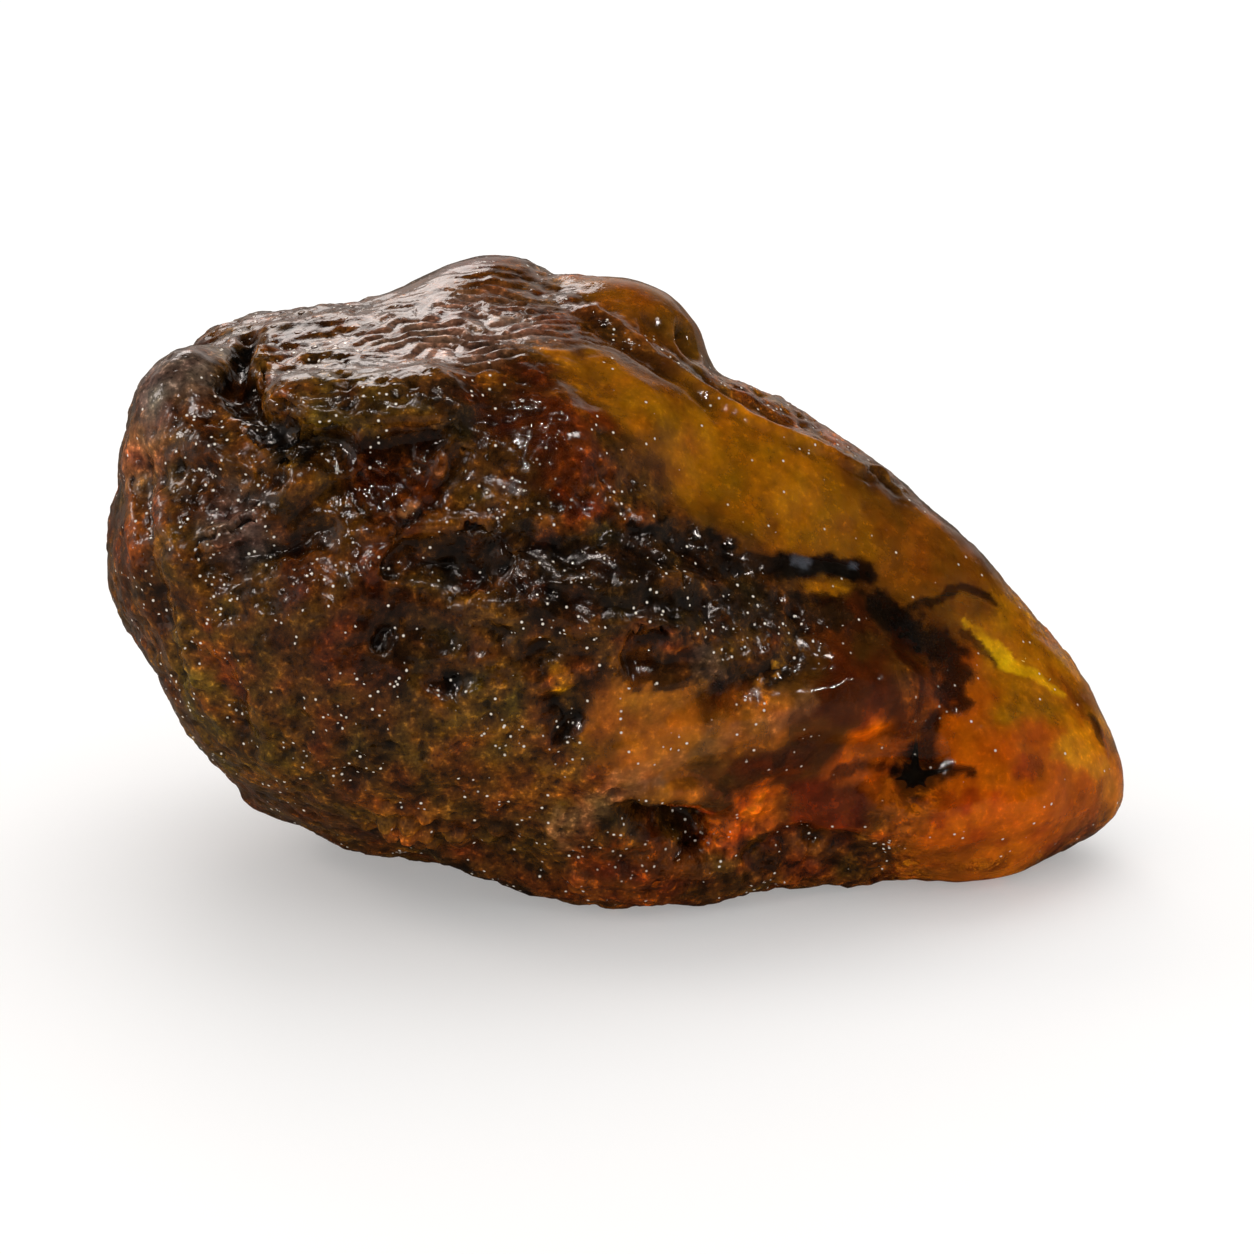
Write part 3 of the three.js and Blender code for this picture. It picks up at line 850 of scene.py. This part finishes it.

# %% [markdown]
# ### Streaks
#
# Soot lies in the cracks and along the band, and rust runs through the nose. Painted shade
# darkens the cleft, the underside of the lip, the black hole and a line just outside the shell's
# rim, and the crest of the fold is painted paler. A streak has a path, a width, a colour and a
# share. What is sealed a little way under milky resin hardly shows, so the splinter, the cracks,
# the star and the golden flakes are painted in the skin as well, by finer streaks with crisper
# edges. The yellow of the bright crack and the gold of the flakes are painted glints, and the pale
# shine on the splinter is a painted highlight.

# %% Streaks
STREAKS = [
    # Painted shade: the cleft and the underside of the lip are painted near black.
    ("soot in the cleft",
     [(-20, 1, 29), (-20.4, -3, 28.6), (-20.2, -5.6, 28),
      (-19.4, -8, 27.6), (-18.4, -9.7, 27.6)], 1, SOOT_AND_SHADE, 1),
    ("soot under the lip", [(-18.4, -9.9, 27.6), (-16.5, -11.1, 27), (-15, -11.4, 27)], 1.5, SOOT_AND_SHADE, 1),
    ("soot under the lip, right", [(-12.6, -11.6, 27.2), (-9.9, -11.6, 27.2)], 1.2, SOOT_AND_SHADE, 0.9),
    ("dark band",
     [(-8, -13, 21.4), (-5, -13, 21.2), (-1, -13, 21),
      (2, -11.4, 21.6), (4.6, -9.6, 20.6)], 2.2, SOOT_AND_SHADE, 0.8),
    ("dark band, low",
     [(-4, -13.8, 19.6), (0, -13.9, 19), (4, -12, 18.4), (7.4, -10, 17.6)], 2.4, BARK, 0.9),
    ("black edge", [(0.4, -11.4, 22.4), (2.4, -10.2, 22), (4.4, -9, 21), (6, -8.4, 19.8)], 0.9, SOOT_AND_SHADE, 1),
    ("band end", [(7, -9.4, 17.8), (9.4, -8.8, 16.6), (11, -8, 16.2)], 1.6, BARK, 0.8),
    ("cloud", [(13.6, -6, 16), (14.4, -5.9, 15.4), (15.4, -6, 14.4)], 1.9, SOOT_AND_SHADE, 0.95),
    ("cloud, right",
     [(15.2, -6.1, 14.6), (16.6, -5.3, 14), (17.6, -5.9, 12.6), (17.4, -6.8, 11.4)], 1.8, SOOT_AND_SHADE, 0.9),
    ("grey smudge", [(4.2, -13.4, 16), (5, -13.2, 14.4)], 1.2, LILAC, 0.6),
    ("dark side of the pink window", [(-2.4, -14.5, 13.6), (-2.6, -14.4, 12)], 0.9, SOOT_AND_SHADE, 0.8),
    ("belly soot", [(8, -9.4, 2.6), (9.6, -9, 2.8)], 0.9, SOOT_AND_SHADE, 0.8),
    ("belly soot, right", [(11.4, -8.4, 2.8), (13, -8.4, 2.6)], 0.8, SOOT_AND_SHADE, 0.7),
    ("nose cloud", [(16, -9, 6.4), (18.4, -8.8, 6), (20.4, -8, 6.6), (22, -7, 7.6)], 1.1, BLOOD, 0.6),
    ("nose cloud, low", [(18.4, -8.8, 6), (19.6, -8, 3.6)], 1, BLOOD, 0.45),
    # Painted glint: the yellow that the bright crack mirrors.
    ("yellow beside the crack", [(18.9, -3, 14), (20.4, -3.3, 12.4), (21.2, -3.2, 11.8)], 0.8, LEMON, 0.9),
    ("star", [(15.3, -9, 7.4), (15.9, -8.9, 8)], 1.7, SOOT_AND_SHADE, 1),
    ("crest of the fold",
     [(-3, -12.6, 5.8), (-1, -13.8, 8.4), (2.1, -13.5, 10.2),
      (6.3, -12.9, 11.8), (9.4, -11.6, 12.8)], 1.3, CREST, 0.45),
    ("pale spot", [(1.4, -13.5, 9.2), (2.4, -13.3, 8.8)], 0.7, CREST, 0.9),
    ("dark above the fold", [(2, -14, 15.4), (5, -13.4, 15), (8, -12, 14.6)], 1.3, BARK, 0.7),
    ("edge of the pink window", [(-3, -14.8, 15.4), (0, -14.6, 15.4), (3, -13.8, 15)], 0.9, SOOT_AND_SHADE, 0.8),
    # Painted shade: the deep hole is painted black.
    ("black hole", [(1.2, -13.2, 6.7), (2.6, -12.4, 6.1), (3.9, -11.4, 5.3)], 1.9, SOOT_AND_SHADE, 1),
    ("red edge of the hole", [(3.6, -11.9, 7), (4.8, -11, 5.8)], 0.8, BLOOD, 0.8),
    ("dark foot", [(-14, -9, 4), (-9, -9, 2.6), (-5, -9, 1.4)], 1.6, BARK, 0.8),
]
fine_fray = drift(points, 0.9, 3, (4, 5, 6))
bent = points + 1.2 * fray + 1.4 * fine_fray
for name, path, width, paint, share in STREAKS:
    tone = paint_over(share * ease(1.7 * along(bent, path, width)), paint)
print("streaks:", len(STREAKS))

# %% Fine streaks
SPLINTER = [(8.4, -7.3, 19), (9.5, -6.8, 18.6), (11.2, -5.4, 18.3), (13.1, -4.4, 17.5)]
FINE_STREAKS = [
    # Painted shadow: a dark line just outside the shell's rim.
    ("shell, dark outside", SHELL_RIM, 0.5, SOOT_AND_SHADE, 0.8),
    ("shell, rim",
     [(-12.3, -12.4, 23.1), (-11, -12, 23.7), (-10.2, -11.8, 24.5),
      (-9.5, -11.6, 25.3), (-8.9, -11.5, 26.2)], 0.34, CREST, 0.7),
    ("shell, first ripple",
     [(-14.4, -12.2, 23.4), (-12.1, -12.1, 24.1),
      (-10.2, -11.8, 25.2), (-9.2, -11.5, 26.2)], 0.3, BARK, 0.7),
    ("shell, second ripple",
     [(-15, -12, 24.2), (-12.6, -11.9, 25), (-10.8, -11.8, 25.8), (-9.7, -11.6, 26.4)], 0.3, CREST, 0.5),
    ("shell, third ripple",
     [(-15.3, -11.8, 25.1), (-13.2, -11.9, 25.6),
      (-11.4, -11.9, 26.2), (-10.2, -11.7, 26.6)], 0.3, BARK, 0.6),
    ("dark crack",
     [(14.6, -5.2, 15.4), (16.9, -3.4, 15.5), (18, -2, 15.7),
      (19.2, -1.1, 15.3), (20.3, -0.6, 14.5)], 0.4, SOOT_AND_SHADE, 0.85),
    ("line under the splinter", [(8.8, -8.2, 17.4), (10.4, -7.6, 17.2), (11.6, -7, 17)], 0.5, SOOT_AND_SHADE, 0.8),
    ("recess line", [(11.4, -9.6, 8.2), (13, -9.4, 8.4), (14.6, -9.2, 8)], 0.6, BROWN_RED, 0.9),
    # Painted glint of the bright crack.
    ("yellow line", [(21.2, -3.2, 11.8), (22.1, -3, 11.2), (23.8, -2.5, 9.8)], 0.42, LEMON, 0.6),
    ("dark side of the yellow", [(18.4, -3.6, 13.8), (20, -3.9, 12.2)], 0.5, BARK, 0.7),
    ("star, body", [(15.3, -9, 7.5), (16.2, -8.9, 7.8)], 1.2, SOOT_AND_SHADE, 1),
    ("star, left point", [(15.7, -8.9, 7.7), (14.7, -8.9, 7.8)], 0.5, SOOT_AND_SHADE, 1),
    ("star, foot", [(15.7, -8.9, 7.6), (15.6, -9.1, 6.7)], 0.7, SOOT_AND_SHADE, 1),
    ("star, right arm", [(15.7, -8.9, 7.7), (17.2, -8.9, 8)], 0.75, SOOT_AND_SHADE, 1),
    ("star, tip of the right arm", [(17, -8.9, 8), (18.7, -9, 7.8)], 0.4, SOOT_AND_SHADE, 0.9),
    ("star, upper arm", [(15.9, -8.9, 7.9), (16.3, -8.6, 9.2), (16.6, -8.3, 10.5)], 0.7, SOOT_AND_SHADE, 0.9),
    ("yellow bit", [(-3.4, -14.5, 15.5), (-2.9, -14.5, 14.8)], 0.7, MUSTARD, 0.8),
    ("dark around the flakes", [(7.8, -12, 14.4), (8.6, -11.5, 14.9), (9.6, -11, 15)], 0.9, SOOT_AND_SHADE, 0.6),
    # Painted glints of the golden flakes, here and in the golden line.
    ("golden flakes", [(8.2, -11.7, 14.8), (8.7, -11.4, 15)], 0.4, GOLD, 1),
    ("golden line", [(6.2, -12.9, 13.7), (7, -12.6, 13.9), (8.2, -11.8, 14.6)], 0.34, GOLD, 0.6),
    ("band tip", [(5.4, -9, 19.4), (7, -8.2, 19.2), (8.6, -7.4, 18.9)], 1, SOOT_AND_SHADE, 0.9),
    ("tip, dark", [(25.7, -1.6, 8), (25.9, -2.4, 7)], 0.7, BARK, 0.8),
    ("splinter", SPLINTER, 1.0, SOOT_AND_SHADE, 1.0),
    # Painted highlights on the splinter.
    ("shine on the splinter", [(9, -6.9, 19), (9.9, -6.3, 18.8)], 0.4, PAINTED_SHINE, 0.9),
    ("shine on the splinter, right", [(11.8, -5, 18.5), (12.8, -4.5, 18)], 0.35, PAINTED_SHINE, 0.8),
]
slightly_bent = points + 0.55 * fine_fray
for name, path, width, paint, share in FINE_STREAKS:
    tone = paint_over(share * ease(2.2 * along(slightly_bent, path, width)), paint)
print("fine streaks:", len(FINE_STREAKS))

# %% [markdown]
# ### Variation
#
# Three noises of different sizes make the painted tones redder, yellower and lighter here and
# there, so that no patch is one flat colour. The worn parts vary less. Two masks go with the
# tones: the share of painted sparkles, white dots in clusters that stand in for highlights, and
# grit, which is missing on the flat top and the shoulder.

# %% Variation, specks and grit
redder = (1 - 0.6 * polish) * (clouds(points, 2.2, 4, 32) - 0.5)
yellower = (1 - 0.6 * polish) * (clouds(points, 1.5, 4, 33) - 0.5)
lighter = (1 - 0.5 * polish) * (clouds(points, 0.9, 3, 34) - 0.5)
hues = np.column_stack([1 + 0.5 * redder, 1 + 0.8 * yellower, 1 + 0.8 * yellower])
tone = np.clip(tone * (hues * (1 + 1.4 * lighter)[:, None]), 0, 1)
# Where the painted sparkles may sit: white dots, painted highlights of the wet skin.
specks = np.clip(4 * (clouds(points, 2.4, 3, 35) - 0.44), 0, 1) * (1 - 0.8 * polish) * (1 - 0.9 * table)
grit = 1 - 0.85 * np.maximum(table, ball(points, (-22.5, -3, 29), 5))
grit *= 1 - 0.75 * polish
print("brightest tone, linear:", round(float(tone.max()), 2))

# %% [markdown]
# ### What the material reads
#
# The tones and masks are stored at the points of the skin, three numbers to a layer. The layer
# windows holds the clear and the milky share and the share of painted sparkles. The other layer
# holds how far a point stands out, which sets the painted shade and light of the relief, how
# gritty it is, and how calm: where smooth resin is milky, its colour varies less.

# %% Hand the colours and masks to the skin
def store(name, red, green, blue):
    """Keeps three numbers for each point of the skin as a colour, for a material to read."""
    layer = lump.data.attributes.new(name, "FLOAT_COLOR", "POINT")
    values = np.column_stack([red, green, blue, np.ones(len(red))])
    layer.data.foreach_set("color", values.ravel().astype(np.float32))


store("tone", tone[:, 0], tone[:, 1], tone[:, 2])
store("windows", clear, milk, specks)
store("relief_grit_calm", np.clip(0.5 + proud / 0.8, 0, 1), grit, 0.75 * polish * ease(2 * milk))
print("stored for the material: tone, windows, wear")

# %% [markdown]
# ## The skin's material
#
# Clear amber and crust lie side by side on one surface, so one material mixes two shaders by the
# clear mask. The clear one is glass with amber's refraction, and the colour comes from plain
# absorption inside, so that thin parts glow yellow and thick parts go red. The crust is a dark,
# glossy, opaque skin. Its base colour comes from the tones, broken up by noise, with painted
# shade that darkens it in the hollows and painted light that brightens it on the crests. Milky
# resin is a share of that opaque skin laid over the clear one.
#
# The finest marks are too small for the mesh. They are a bump made by one node group: dust, and
# drops, which are round domes in cells of two sizes. The same group gives two noises for the
# colour, a mask of the drops, which are smoother than the dust, and painted sparkles: small pale
# dots in the middle of some drops, painted highlights in the base colour.

# %% The group for fine grain
def new_group(name, inputs, outputs):
    """A shader node group with these sockets, each a name and a kind."""
    group = bpy.data.node_groups.new(name, "ShaderNodeTree")
    for socket, kind in inputs:
        group.interface.new_socket(socket, in_out="INPUT", socket_type="NodeSocket" + kind)
    for socket, kind in outputs:
        group.interface.new_socket(socket, in_out="OUTPUT", socket_type="NodeSocket" + kind)
    return group, group.nodes.new("NodeGroupInput"), group.nodes.new("NodeGroupOutput")


grain_group, entry, leave = new_group(
    "fine_grain",
    [("Grain", "Float"), ("Drops", "Float"), ("Sparkle share", "Float")],
    [("Height", "Float"), ("Speckle", "Float"), ("Cloud", "Float"), ("Wet", "Float"), ("Painted sparkle", "Float")],
)
place = node(grain_group, "TexCoord").outputs["Object"]


def drops(scale, share, tall):
    """The height of round drops in a share of the cells, a disc in each cell, and its lot."""
    cell = node(grain_group, "TexVoronoi", {"Vector": place, "Scale": scale, "Randomness": 1.0}, feature="F1")
    squared = calculate(grain_group, "MULTIPLY", cell.outputs["Distance"], cell.outputs["Distance"])
    dome = scaled(grain_group, squared, 0.0, 0.1, tall, 0.0)
    disc = scaled(grain_group, squared, 0.012, 0.044, 1.0, 0.0)
    chance = node(grain_group, "SeparateColor", {0: cell.outputs["Color"]}).outputs[0]
    chosen = calculate(grain_group, "LESS_THAN", chance, share)
    return calculate(grain_group, "MULTIPLY", dome, chosen), disc, chance


big_drops = drops(scale=1450, share=0.45, tall=1.0)[0]
small_drops, disc, chance = drops(scale=2300, share=0.5, tall=0.65)
all_drops = calculate(grain_group, "MAXIMUM", big_drops, small_drops)
# A share of the small drops gets a pale dot in its middle, a painted highlight.
sparkle_limit = calculate(grain_group, "MULTIPLY", entry.outputs["Sparkle share"], 0.95)
sparkle_cells = calculate(grain_group, "LESS_THAN", chance, sparkle_limit)
wet_drops = calculate(grain_group, "MULTIPLY", all_drops, entry.outputs["Drops"])
dust = node(grain_group, "TexNoise", {"Vector": place, "Scale": 5200, "Detail": 3.0}).outputs[0]
dust_height = calculate(grain_group, "MULTIPLY", dust, entry.outputs["Grain"])
speckle = node(grain_group, "TexNoise", {"Vector": place, "Scale": 2600, "Detail": 4.0, "Roughness": 0.65})
cloud = node(grain_group, "TexNoise", {"Vector": place, "Scale": 380, "Detail": 5.0, "Distortion": 0.8})
wet = calculate(grain_group, "MINIMUM", calculate(grain_group, "MULTIPLY", all_drops, 6.0), 1.0)
results = {
    "Height": calculate(grain_group, "ADD", dust_height, wet_drops),
    "Speckle": speckle.outputs[0],
    "Cloud": cloud.outputs[0],
    "Wet": wet,
    "Painted sparkle": calculate(grain_group, "MULTIPLY", disc, sparkle_cells),
}
for name, result in results.items():
    grain_group.links.new(result, leave.inputs[name])
print("group:", grain_group.name)

# %% The crust
AMBER_IOR = 1.54
DUST = 0.3
BUMP_DEPTH = 0.042 * MM
PAINTED_SPARKLE = (0.95, 0.87, 0.75, 1)
WET_ROUGHNESS = 0.05
SMOOTH_ROUGHNESS = 0.09
GRITTY_ROUGHNESS = 0.17

skin_material, tree, output = new_material("amber_skin")


def painted(name):
    """The stored mask or colour of that name."""
    return node(tree, "Attribute", attribute_name=name).outputs["Color"]


def calmed(factor):
    """A factor that goes towards 1 where the skin is calm."""
    return node(tree, "Mix", {0: calm_socket, 2: factor, 3: 1.0}).outputs[0]


clear_socket, milk_socket, sparkle_share_socket = node(tree, "SeparateColor", {0: painted("windows")}).outputs[:3]
proud_socket, grit_socket, calm_socket = node(tree, "SeparateColor", {0: painted("relief_grit_calm")}).outputs[:3]
grain = node(tree, "Group", node_tree=grain_group)
grain.inputs["Grain"].default_value = DUST
tree.links.new(grit_socket, grain.inputs["Drops"])
tree.links.new(sparkle_share_socket, grain.inputs["Sparkle share"])

by_cloud = scaled(tree, grain.outputs["Cloud"], 0.3, 0.7, 0.35, 1.5)
by_speckle = scaled(tree, grain.outputs["Speckle"], 0.3, 0.7, 0.3, 1.8)
# Painted shade and light: the crust is darker in the hollows and lighter on the crests.
relief_shade_and_light = scaled(tree, proud_socket, 0.3, 0.7, 0.25, 1.3)
by_grain = scaled(tree, grain.outputs["Speckle"], 0.57, 0.74, 1.0, 2.6)
crust_colour = painted("tone")
for factor in (calmed(by_cloud), calmed(by_speckle), relief_shade_and_light, calmed(by_grain)):
    shade = node(tree, "VectorMath", {0: crust_colour, "Scale": factor}, operation="SCALE")
    crust_colour = shade.outputs[0]
# Painted sparkles: pale dots in the base colour that stand in for highlights.
with_painted_sparkles = node(tree, "Mix", {0: grain.outputs["Painted sparkle"], 6: crust_colour, 7: PAINTED_SPARKLE}, data_type="RGBA")
dry_rough = scaled(tree, grit_socket, 0.2, 1.0, SMOOTH_ROUGHNESS, GRITTY_ROUGHNESS)
crust_rough = node(tree, "Mix", {"Factor": grain.outputs["Wet"], "A": dry_rough, "B": WET_ROUGHNESS})
bump = node(tree, "Bump", {"Height": grain.outputs["Height"], "Strength": 1.0, "Distance": BUMP_DEPTH})
crust_shader = node(tree, "BsdfPrincipled", {
    "Base Color": with_painted_sparkles.outputs[2], "Roughness": crust_rough.outputs[0],
    "Normal": bump.outputs[0], "IOR": AMBER_IOR,
})
print("material:", skin_material.name)

# %% Clear resin, and the two together
CLEAR_RESIN = (1.0, 0.93, 0.8, 1)
ABSORBED_TO = (0.97, 0.77, 0.0, 1)
ABSORPTION = 420.0

clear_shader = node(tree, "BsdfPrincipled", {
    "Base Color": CLEAR_RESIN,
    "Roughness": scaled(tree, grain.outputs["Speckle"], 0.3, 0.7, 0.02, 0.08),
    "Normal": bump.outputs[0], "IOR": AMBER_IOR, "Transmission Weight": 1.0,
})
frayed_clear = calculate(tree, "ADD", calculate(tree, "SUBTRACT", grain.outputs["Cloud"], 0.5), clear_socket)
window = scaled(tree, frayed_clear, 0.35, 0.75, 0.0, 1.0)
clear_share = calculate(tree, "MULTIPLY", window, calculate(tree, "SUBTRACT", 1.0, milk_socket))
surface = node(tree, "MixShader", {0: clear_share, 1: crust_shader.outputs[0], 2: clear_shader.outputs[0]})
inside = node(tree, "VolumeAbsorption", {"Color": ABSORBED_TO, "Density": ABSORPTION})
tree.links.new(surface.outputs[0], output.inputs["Surface"])
tree.links.new(inside.outputs[0], output.inputs["Volume"])
lump.data.materials.append(skin_material)
pick(lump)
bpy.ops.object.shade_smooth()
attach(lump, "root")
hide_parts("amber")
print("absorption per metre:", ABSORPTION)

# %% [markdown]
# ## Things sealed in the resin
#
# While it was sticky the resin caught bits of burnt wood and soot, and as it hardened it cracked a
# little and let gas into the cracks. All of these lie just under the windows. Each is placed by
# finding the nearest point of the skin and going in from there by a small depth.
#
# They are made of rounded crumbs, cones and plates. A small random move of the points takes away
# their machine-made look, and the random numbers start from a fixed seed, so they always fall alike.

# %% Tools for the sealed things
SEED = 7
rng = np.random.default_rng(SEED)


def under_skin(place, depth):
    """The point that lies so many mm under the skin nearest to a place, in metres."""
    found, spot, normal, face = lump.closest_point_on_mesh(Vector(place) * MM)
    return spot - normal * depth * MM


def start_piece(name):
    """An empty mesh at the origin, open for adding shapes."""
    piece = bpy.data.objects.new(name, bpy.data.meshes.new(name))
    bpy.context.scene.collection.objects.link(piece)
    pick(piece)
    bpy.ops.object.mode_set(mode="EDIT")
    return piece


def add_crumb(place, sides, turn=(0, 0, 0), smoothness=2):
    """Adds a rounded crumb with these half sides in mm to the open piece."""
    bpy.ops.mesh.primitive_ico_sphere_add(
        subdivisions=smoothness, radius=MM, location=place, rotation=turn, scale=sides
    )


def finish_piece(piece, material, rough=0.0, seed=1, melt=0.0):
    """Roughens the piece, melts its shapes into one where asked, and hands it over."""
    if rough:
        bpy.ops.mesh.select_all(action="SELECT")
        bpy.ops.transform.vertex_random(offset=rough * MM, uniform=1.0, normal=0.0, seed=seed)
    bpy.ops.object.mode_set(mode="OBJECT")
    if melt:
        add_modifier(piece, "REMESH", mode="VOXEL", voxel_size=melt * MM)
    piece.data.materials.append(material)
    pick(piece)
    bpy.ops.object.shade_smooth()
    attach(piece, "root")
    print(piece.name, "faces:", len(piece.data.polygons))


# %% [markdown]
# ### Two finishes for sealed things
#
# Burnt wood and soot are nearly black and dull. The faces of a crack that holds gas mirror the
# light that comes through the resin, so they get a light yellow. A noise breaks up both.

# %% Two finishes for sealed things
def mottled(name, base, shades, rough, grain_scale, detail):
    """A dull material of one colour. shades says which levels of a noise make it how dark or light."""
    material, tree, output = new_material(name)
    place = node(tree, "TexCoord").outputs["Object"]
    mottle = node(tree, "TexNoise", {"Vector": place, "Scale": grain_scale, "Detail": detail}).outputs[0]
    factor = scaled(tree, mottle, *shades)
    shaded = node(tree, "VectorMath", {0: base, "Scale": factor}, operation="SCALE").outputs[0]
    shader = node(tree, "BsdfPrincipled", {"Base Color": shaded, "Roughness": rough})
    tree.links.new(shader.outputs[0], output.inputs["Surface"])
    return material


SOOT_BLACK = (0.014, 0.008, 0.004)
GLINT_YELLOW = (1.0, 0.72, 0.12)
SOOT_SHADES = (0.3, 0.7, 0.2, 1.6)
GLINT_SHADES = (0.4, 0.6, 0.4, 1.0)
soot_material = mottled("sealed_soot", SOOT_BLACK, SOOT_SHADES, rough=0.5, grain_scale=900, detail=4.0)
glint_material = mottled("bright_crack", GLINT_YELLOW, GLINT_SHADES, rough=0.35, grain_scale=1500, detail=3.0)
print("finishes:", soot_material.name, glint_material.name)

# %% [markdown]
# ### Splinter
#
# A charred splinter lies along the lower edge of the sloping face. It is a row of crumbs along a
# line, melted into one lump by a fine voxel remesh, because burnt wood has no sharp edges left.

# %% Splinter
SPLINTER_DEPTH = 0.6
CRUMB_LENGTH = 0.62
piece = start_piece("splinter")
for start, end in zip(SPLINTER[:-1], SPLINTER[1:]):
    for share in (0, 0.33, 0.66):
        along_line = np.array(start) * (1 - share) + np.array(end) * share
        thick = rng.uniform(0.42, 0.6)
        sides = (CRUMB_LENGTH, thick, thick * 0.8)
        add_crumb(under_skin(along_line, SPLINTER_DEPTH), sides, (0, 0.5, 0.5))
finish_piece(piece, soot_material, rough=0.05, melt=0.1)

# %% [markdown]
# ### Dark cloud
#
# Beside the splinter hangs a cloud of soot. It is many small crumbs, dense along a bent line and
# thin at its edges, so it looks solid in the middle and soft outside.

# %% Dark cloud
CLOUD = [
    (13.4, -5.4, 16.5), (14.6, -5.2, 15.8), (16.2, -4.8, 14.8),
    (17.2, -5, 13.8), (17.8, -5.8, 12.6), (18, -6.4, 11.8),
]
CLOUD_CRUMBS = 260
DENSE_SHARE = 0.6
piece = start_piece("dark_cloud")
for number in range(CLOUD_CRUMBS):
    leg = rng.integers(0, len(CLOUD) - 1)
    share = rng.random()
    spot = np.array(CLOUD[leg]) * (1 - share) + np.array(CLOUD[leg + 1]) * share
    spread = 0.75 if number < CLOUD_CRUMBS * DENSE_SHARE else 1.5
    spot = spot + rng.normal(0, spread * 0.5, 3)
    grain_size = rng.uniform(0.08, 0.3)
    place = under_skin(spot, rng.uniform(0.6, 1.8))
    sides = grain_size * rng.uniform(0.6, 1.4, 3)
    add_crumb(place, sides, tuple(rng.uniform(0, 3, 3)), 1)
finish_piece(piece, soot_material, rough=0.04, seed=2)

# %% [markdown]
# ### Star-shaped speck and dark cracks
#
# Under the fold sits a speck with spikes, where small cracks run out of it. Each spike is a cone
# laid from the middle to a tip. Two thin dark cracks, made of cones end to end, run from the
# cloud and from the star towards the nose.

# %% Star-shaped speck and dark cracks
def add_spike(start, end, thick):
    """Adds a thin cone from start to end, both in metres, with a radius of thick mm at its start."""
    run = end - start
    bpy.ops.mesh.primitive_cone_add(
        vertices=8, radius1=thick * MM, radius2=0.02 * MM, depth=run.length,
        location=(start + end) / 2, rotation=run.to_track_quat("Z", "Y").to_euler(),
    )


STAR = (15.7, -8.9, 7.7)
STAR_TIPS = [
    (15.9, -8.6, 9.9), (17.6, -9, 8.1), (14.5, -8.9, 7.4),
    (16.4, -9, 7), (15.2, -8.9, 6.8), (14.9, -8.8, 8.6),
]
STAR_DEPTH = 0.8
SPIKE_RADIUS = 0.32
piece = start_piece("star_speck")
heart = under_skin(STAR, STAR_DEPTH)
for sides in ((0.75, 0.35, 0.5), (0.45, 0.4, 0.7)):
    add_crumb(heart, sides, (0.2, 0.3, 0))
for tip in STAR_TIPS:
    add_spike(heart, under_skin(tip, STAR_DEPTH * 0.7), SPIKE_RADIUS)
finish_piece(piece, soot_material, rough=0.04, seed=3, melt=0.07)

CLOUD_CRACK = [
    (15.6, -4.2, 15.9), (16.6, -3.4, 15.8), (17.6, -2.4, 15.6),
    (18.6, -1.7, 15.5), (20, -0.8, 14.7),
]
STAR_CRACK = [(17.6, -9, 8.1), (18.9, -8.9, 8), (20.4, -8.2, 7.9), (21.6, -7.4, 8.3)]
CRACK_DEPTH = 0.6
piece = start_piece("dark_cracks")
for path, thick in ((CLOUD_CRACK, 0.13), (STAR_CRACK, 0.09)):
    for start, end in zip(path[:-1], path[1:]):
        add_spike(under_skin(start, CRACK_DEPTH), under_skin(end, CRACK_DEPTH), thick)
finish_piece(piece, soot_material, rough=0.05, seed=4)

# %% [markdown]
# ### Bright crack and golden flakes
#
# A crack that holds a film of gas throws light back, and looks bright yellow through the resin.
# It is a row of thin crumpled plates. The golden flakes are smaller plates of the same finish.

# %% Bright crack and golden flakes
BRIGHT_CRACK = [
    (19.2, -2.9, 13.9), (20, -2.9, 13.1), (21, -2.8, 12.3),
    (22.2, -2.4, 11.4), (23.3, -1.9, 10.6),
]
FLAKES = [
    (8.8, -11.2, 14.9), (9.2, -11.4, 14.3), (8.9, -11.2, 14.6),
    (6.8, -12.8, 13.7), (6.6, -12.8, 13.9),
]
FLAKES_PER_SPOT = 3
PLATES_PER_LEG = 7
PLATE_DEPTH = 0.35
piece = start_piece("bright_crack")
for start, end in zip(BRIGHT_CRACK[:-1], BRIGHT_CRACK[1:]):
    for share in np.linspace(0, 0.9, PLATES_PER_LEG):
        spot = np.array(start) * (1 - share) + np.array(end) * share + rng.normal(0, 0.25, 3)
        sides = (rng.uniform(0.2, 0.55), rng.uniform(0.12, 0.3), 0.04)
        add_crumb(under_skin(spot, PLATE_DEPTH), sides, tuple(rng.uniform(0, 3, 3)))
for spot in FLAKES:
    for flake in range(FLAKES_PER_SPOT):
        near = np.array(spot) + rng.normal(0, 0.15, 3)
        sides = (rng.uniform(0.06, 0.2), rng.uniform(0.06, 0.14), 0.03)
        add_crumb(under_skin(near, PLATE_DEPTH), sides, tuple(rng.uniform(0, 3, 3)))
finish_piece(piece, glint_material, rough=0.02, seed=5)

# %% [markdown]
# ### Fibres and specks
#
# The sloping face is full of fine fibres and specks that lie the way the resin flowed. Each is a
# needle a few tenths of a millimetre long, at a random place a little under the skin.

# %% Fibres and specks
FIBRES = 420
FLOW = Vector((0.75, 0.1, -0.6))
SLOPE_TOP = np.array((1, -5, 27))
SLOPE_END = np.array((24, -3, 9))
SPREAD = 2.6
piece = start_piece("fibres")
for number in range(FIBRES):
    along_slope = rng.random()
    spot = SLOPE_TOP * (1 - along_slope) + SLOPE_END * along_slope + rng.normal(0, SPREAD, 3)
    lie = FLOW + Vector(rng.normal(0, 0.22, 3))
    place = under_skin(spot, rng.uniform(0.15, 1.1))
    sides = (rng.uniform(0.06, 0.3), 0.025, 0.025)
    add_crumb(place, sides, lie.to_track_quat("X", "Z").to_euler(), 1)
finish_piece(piece, soot_material)
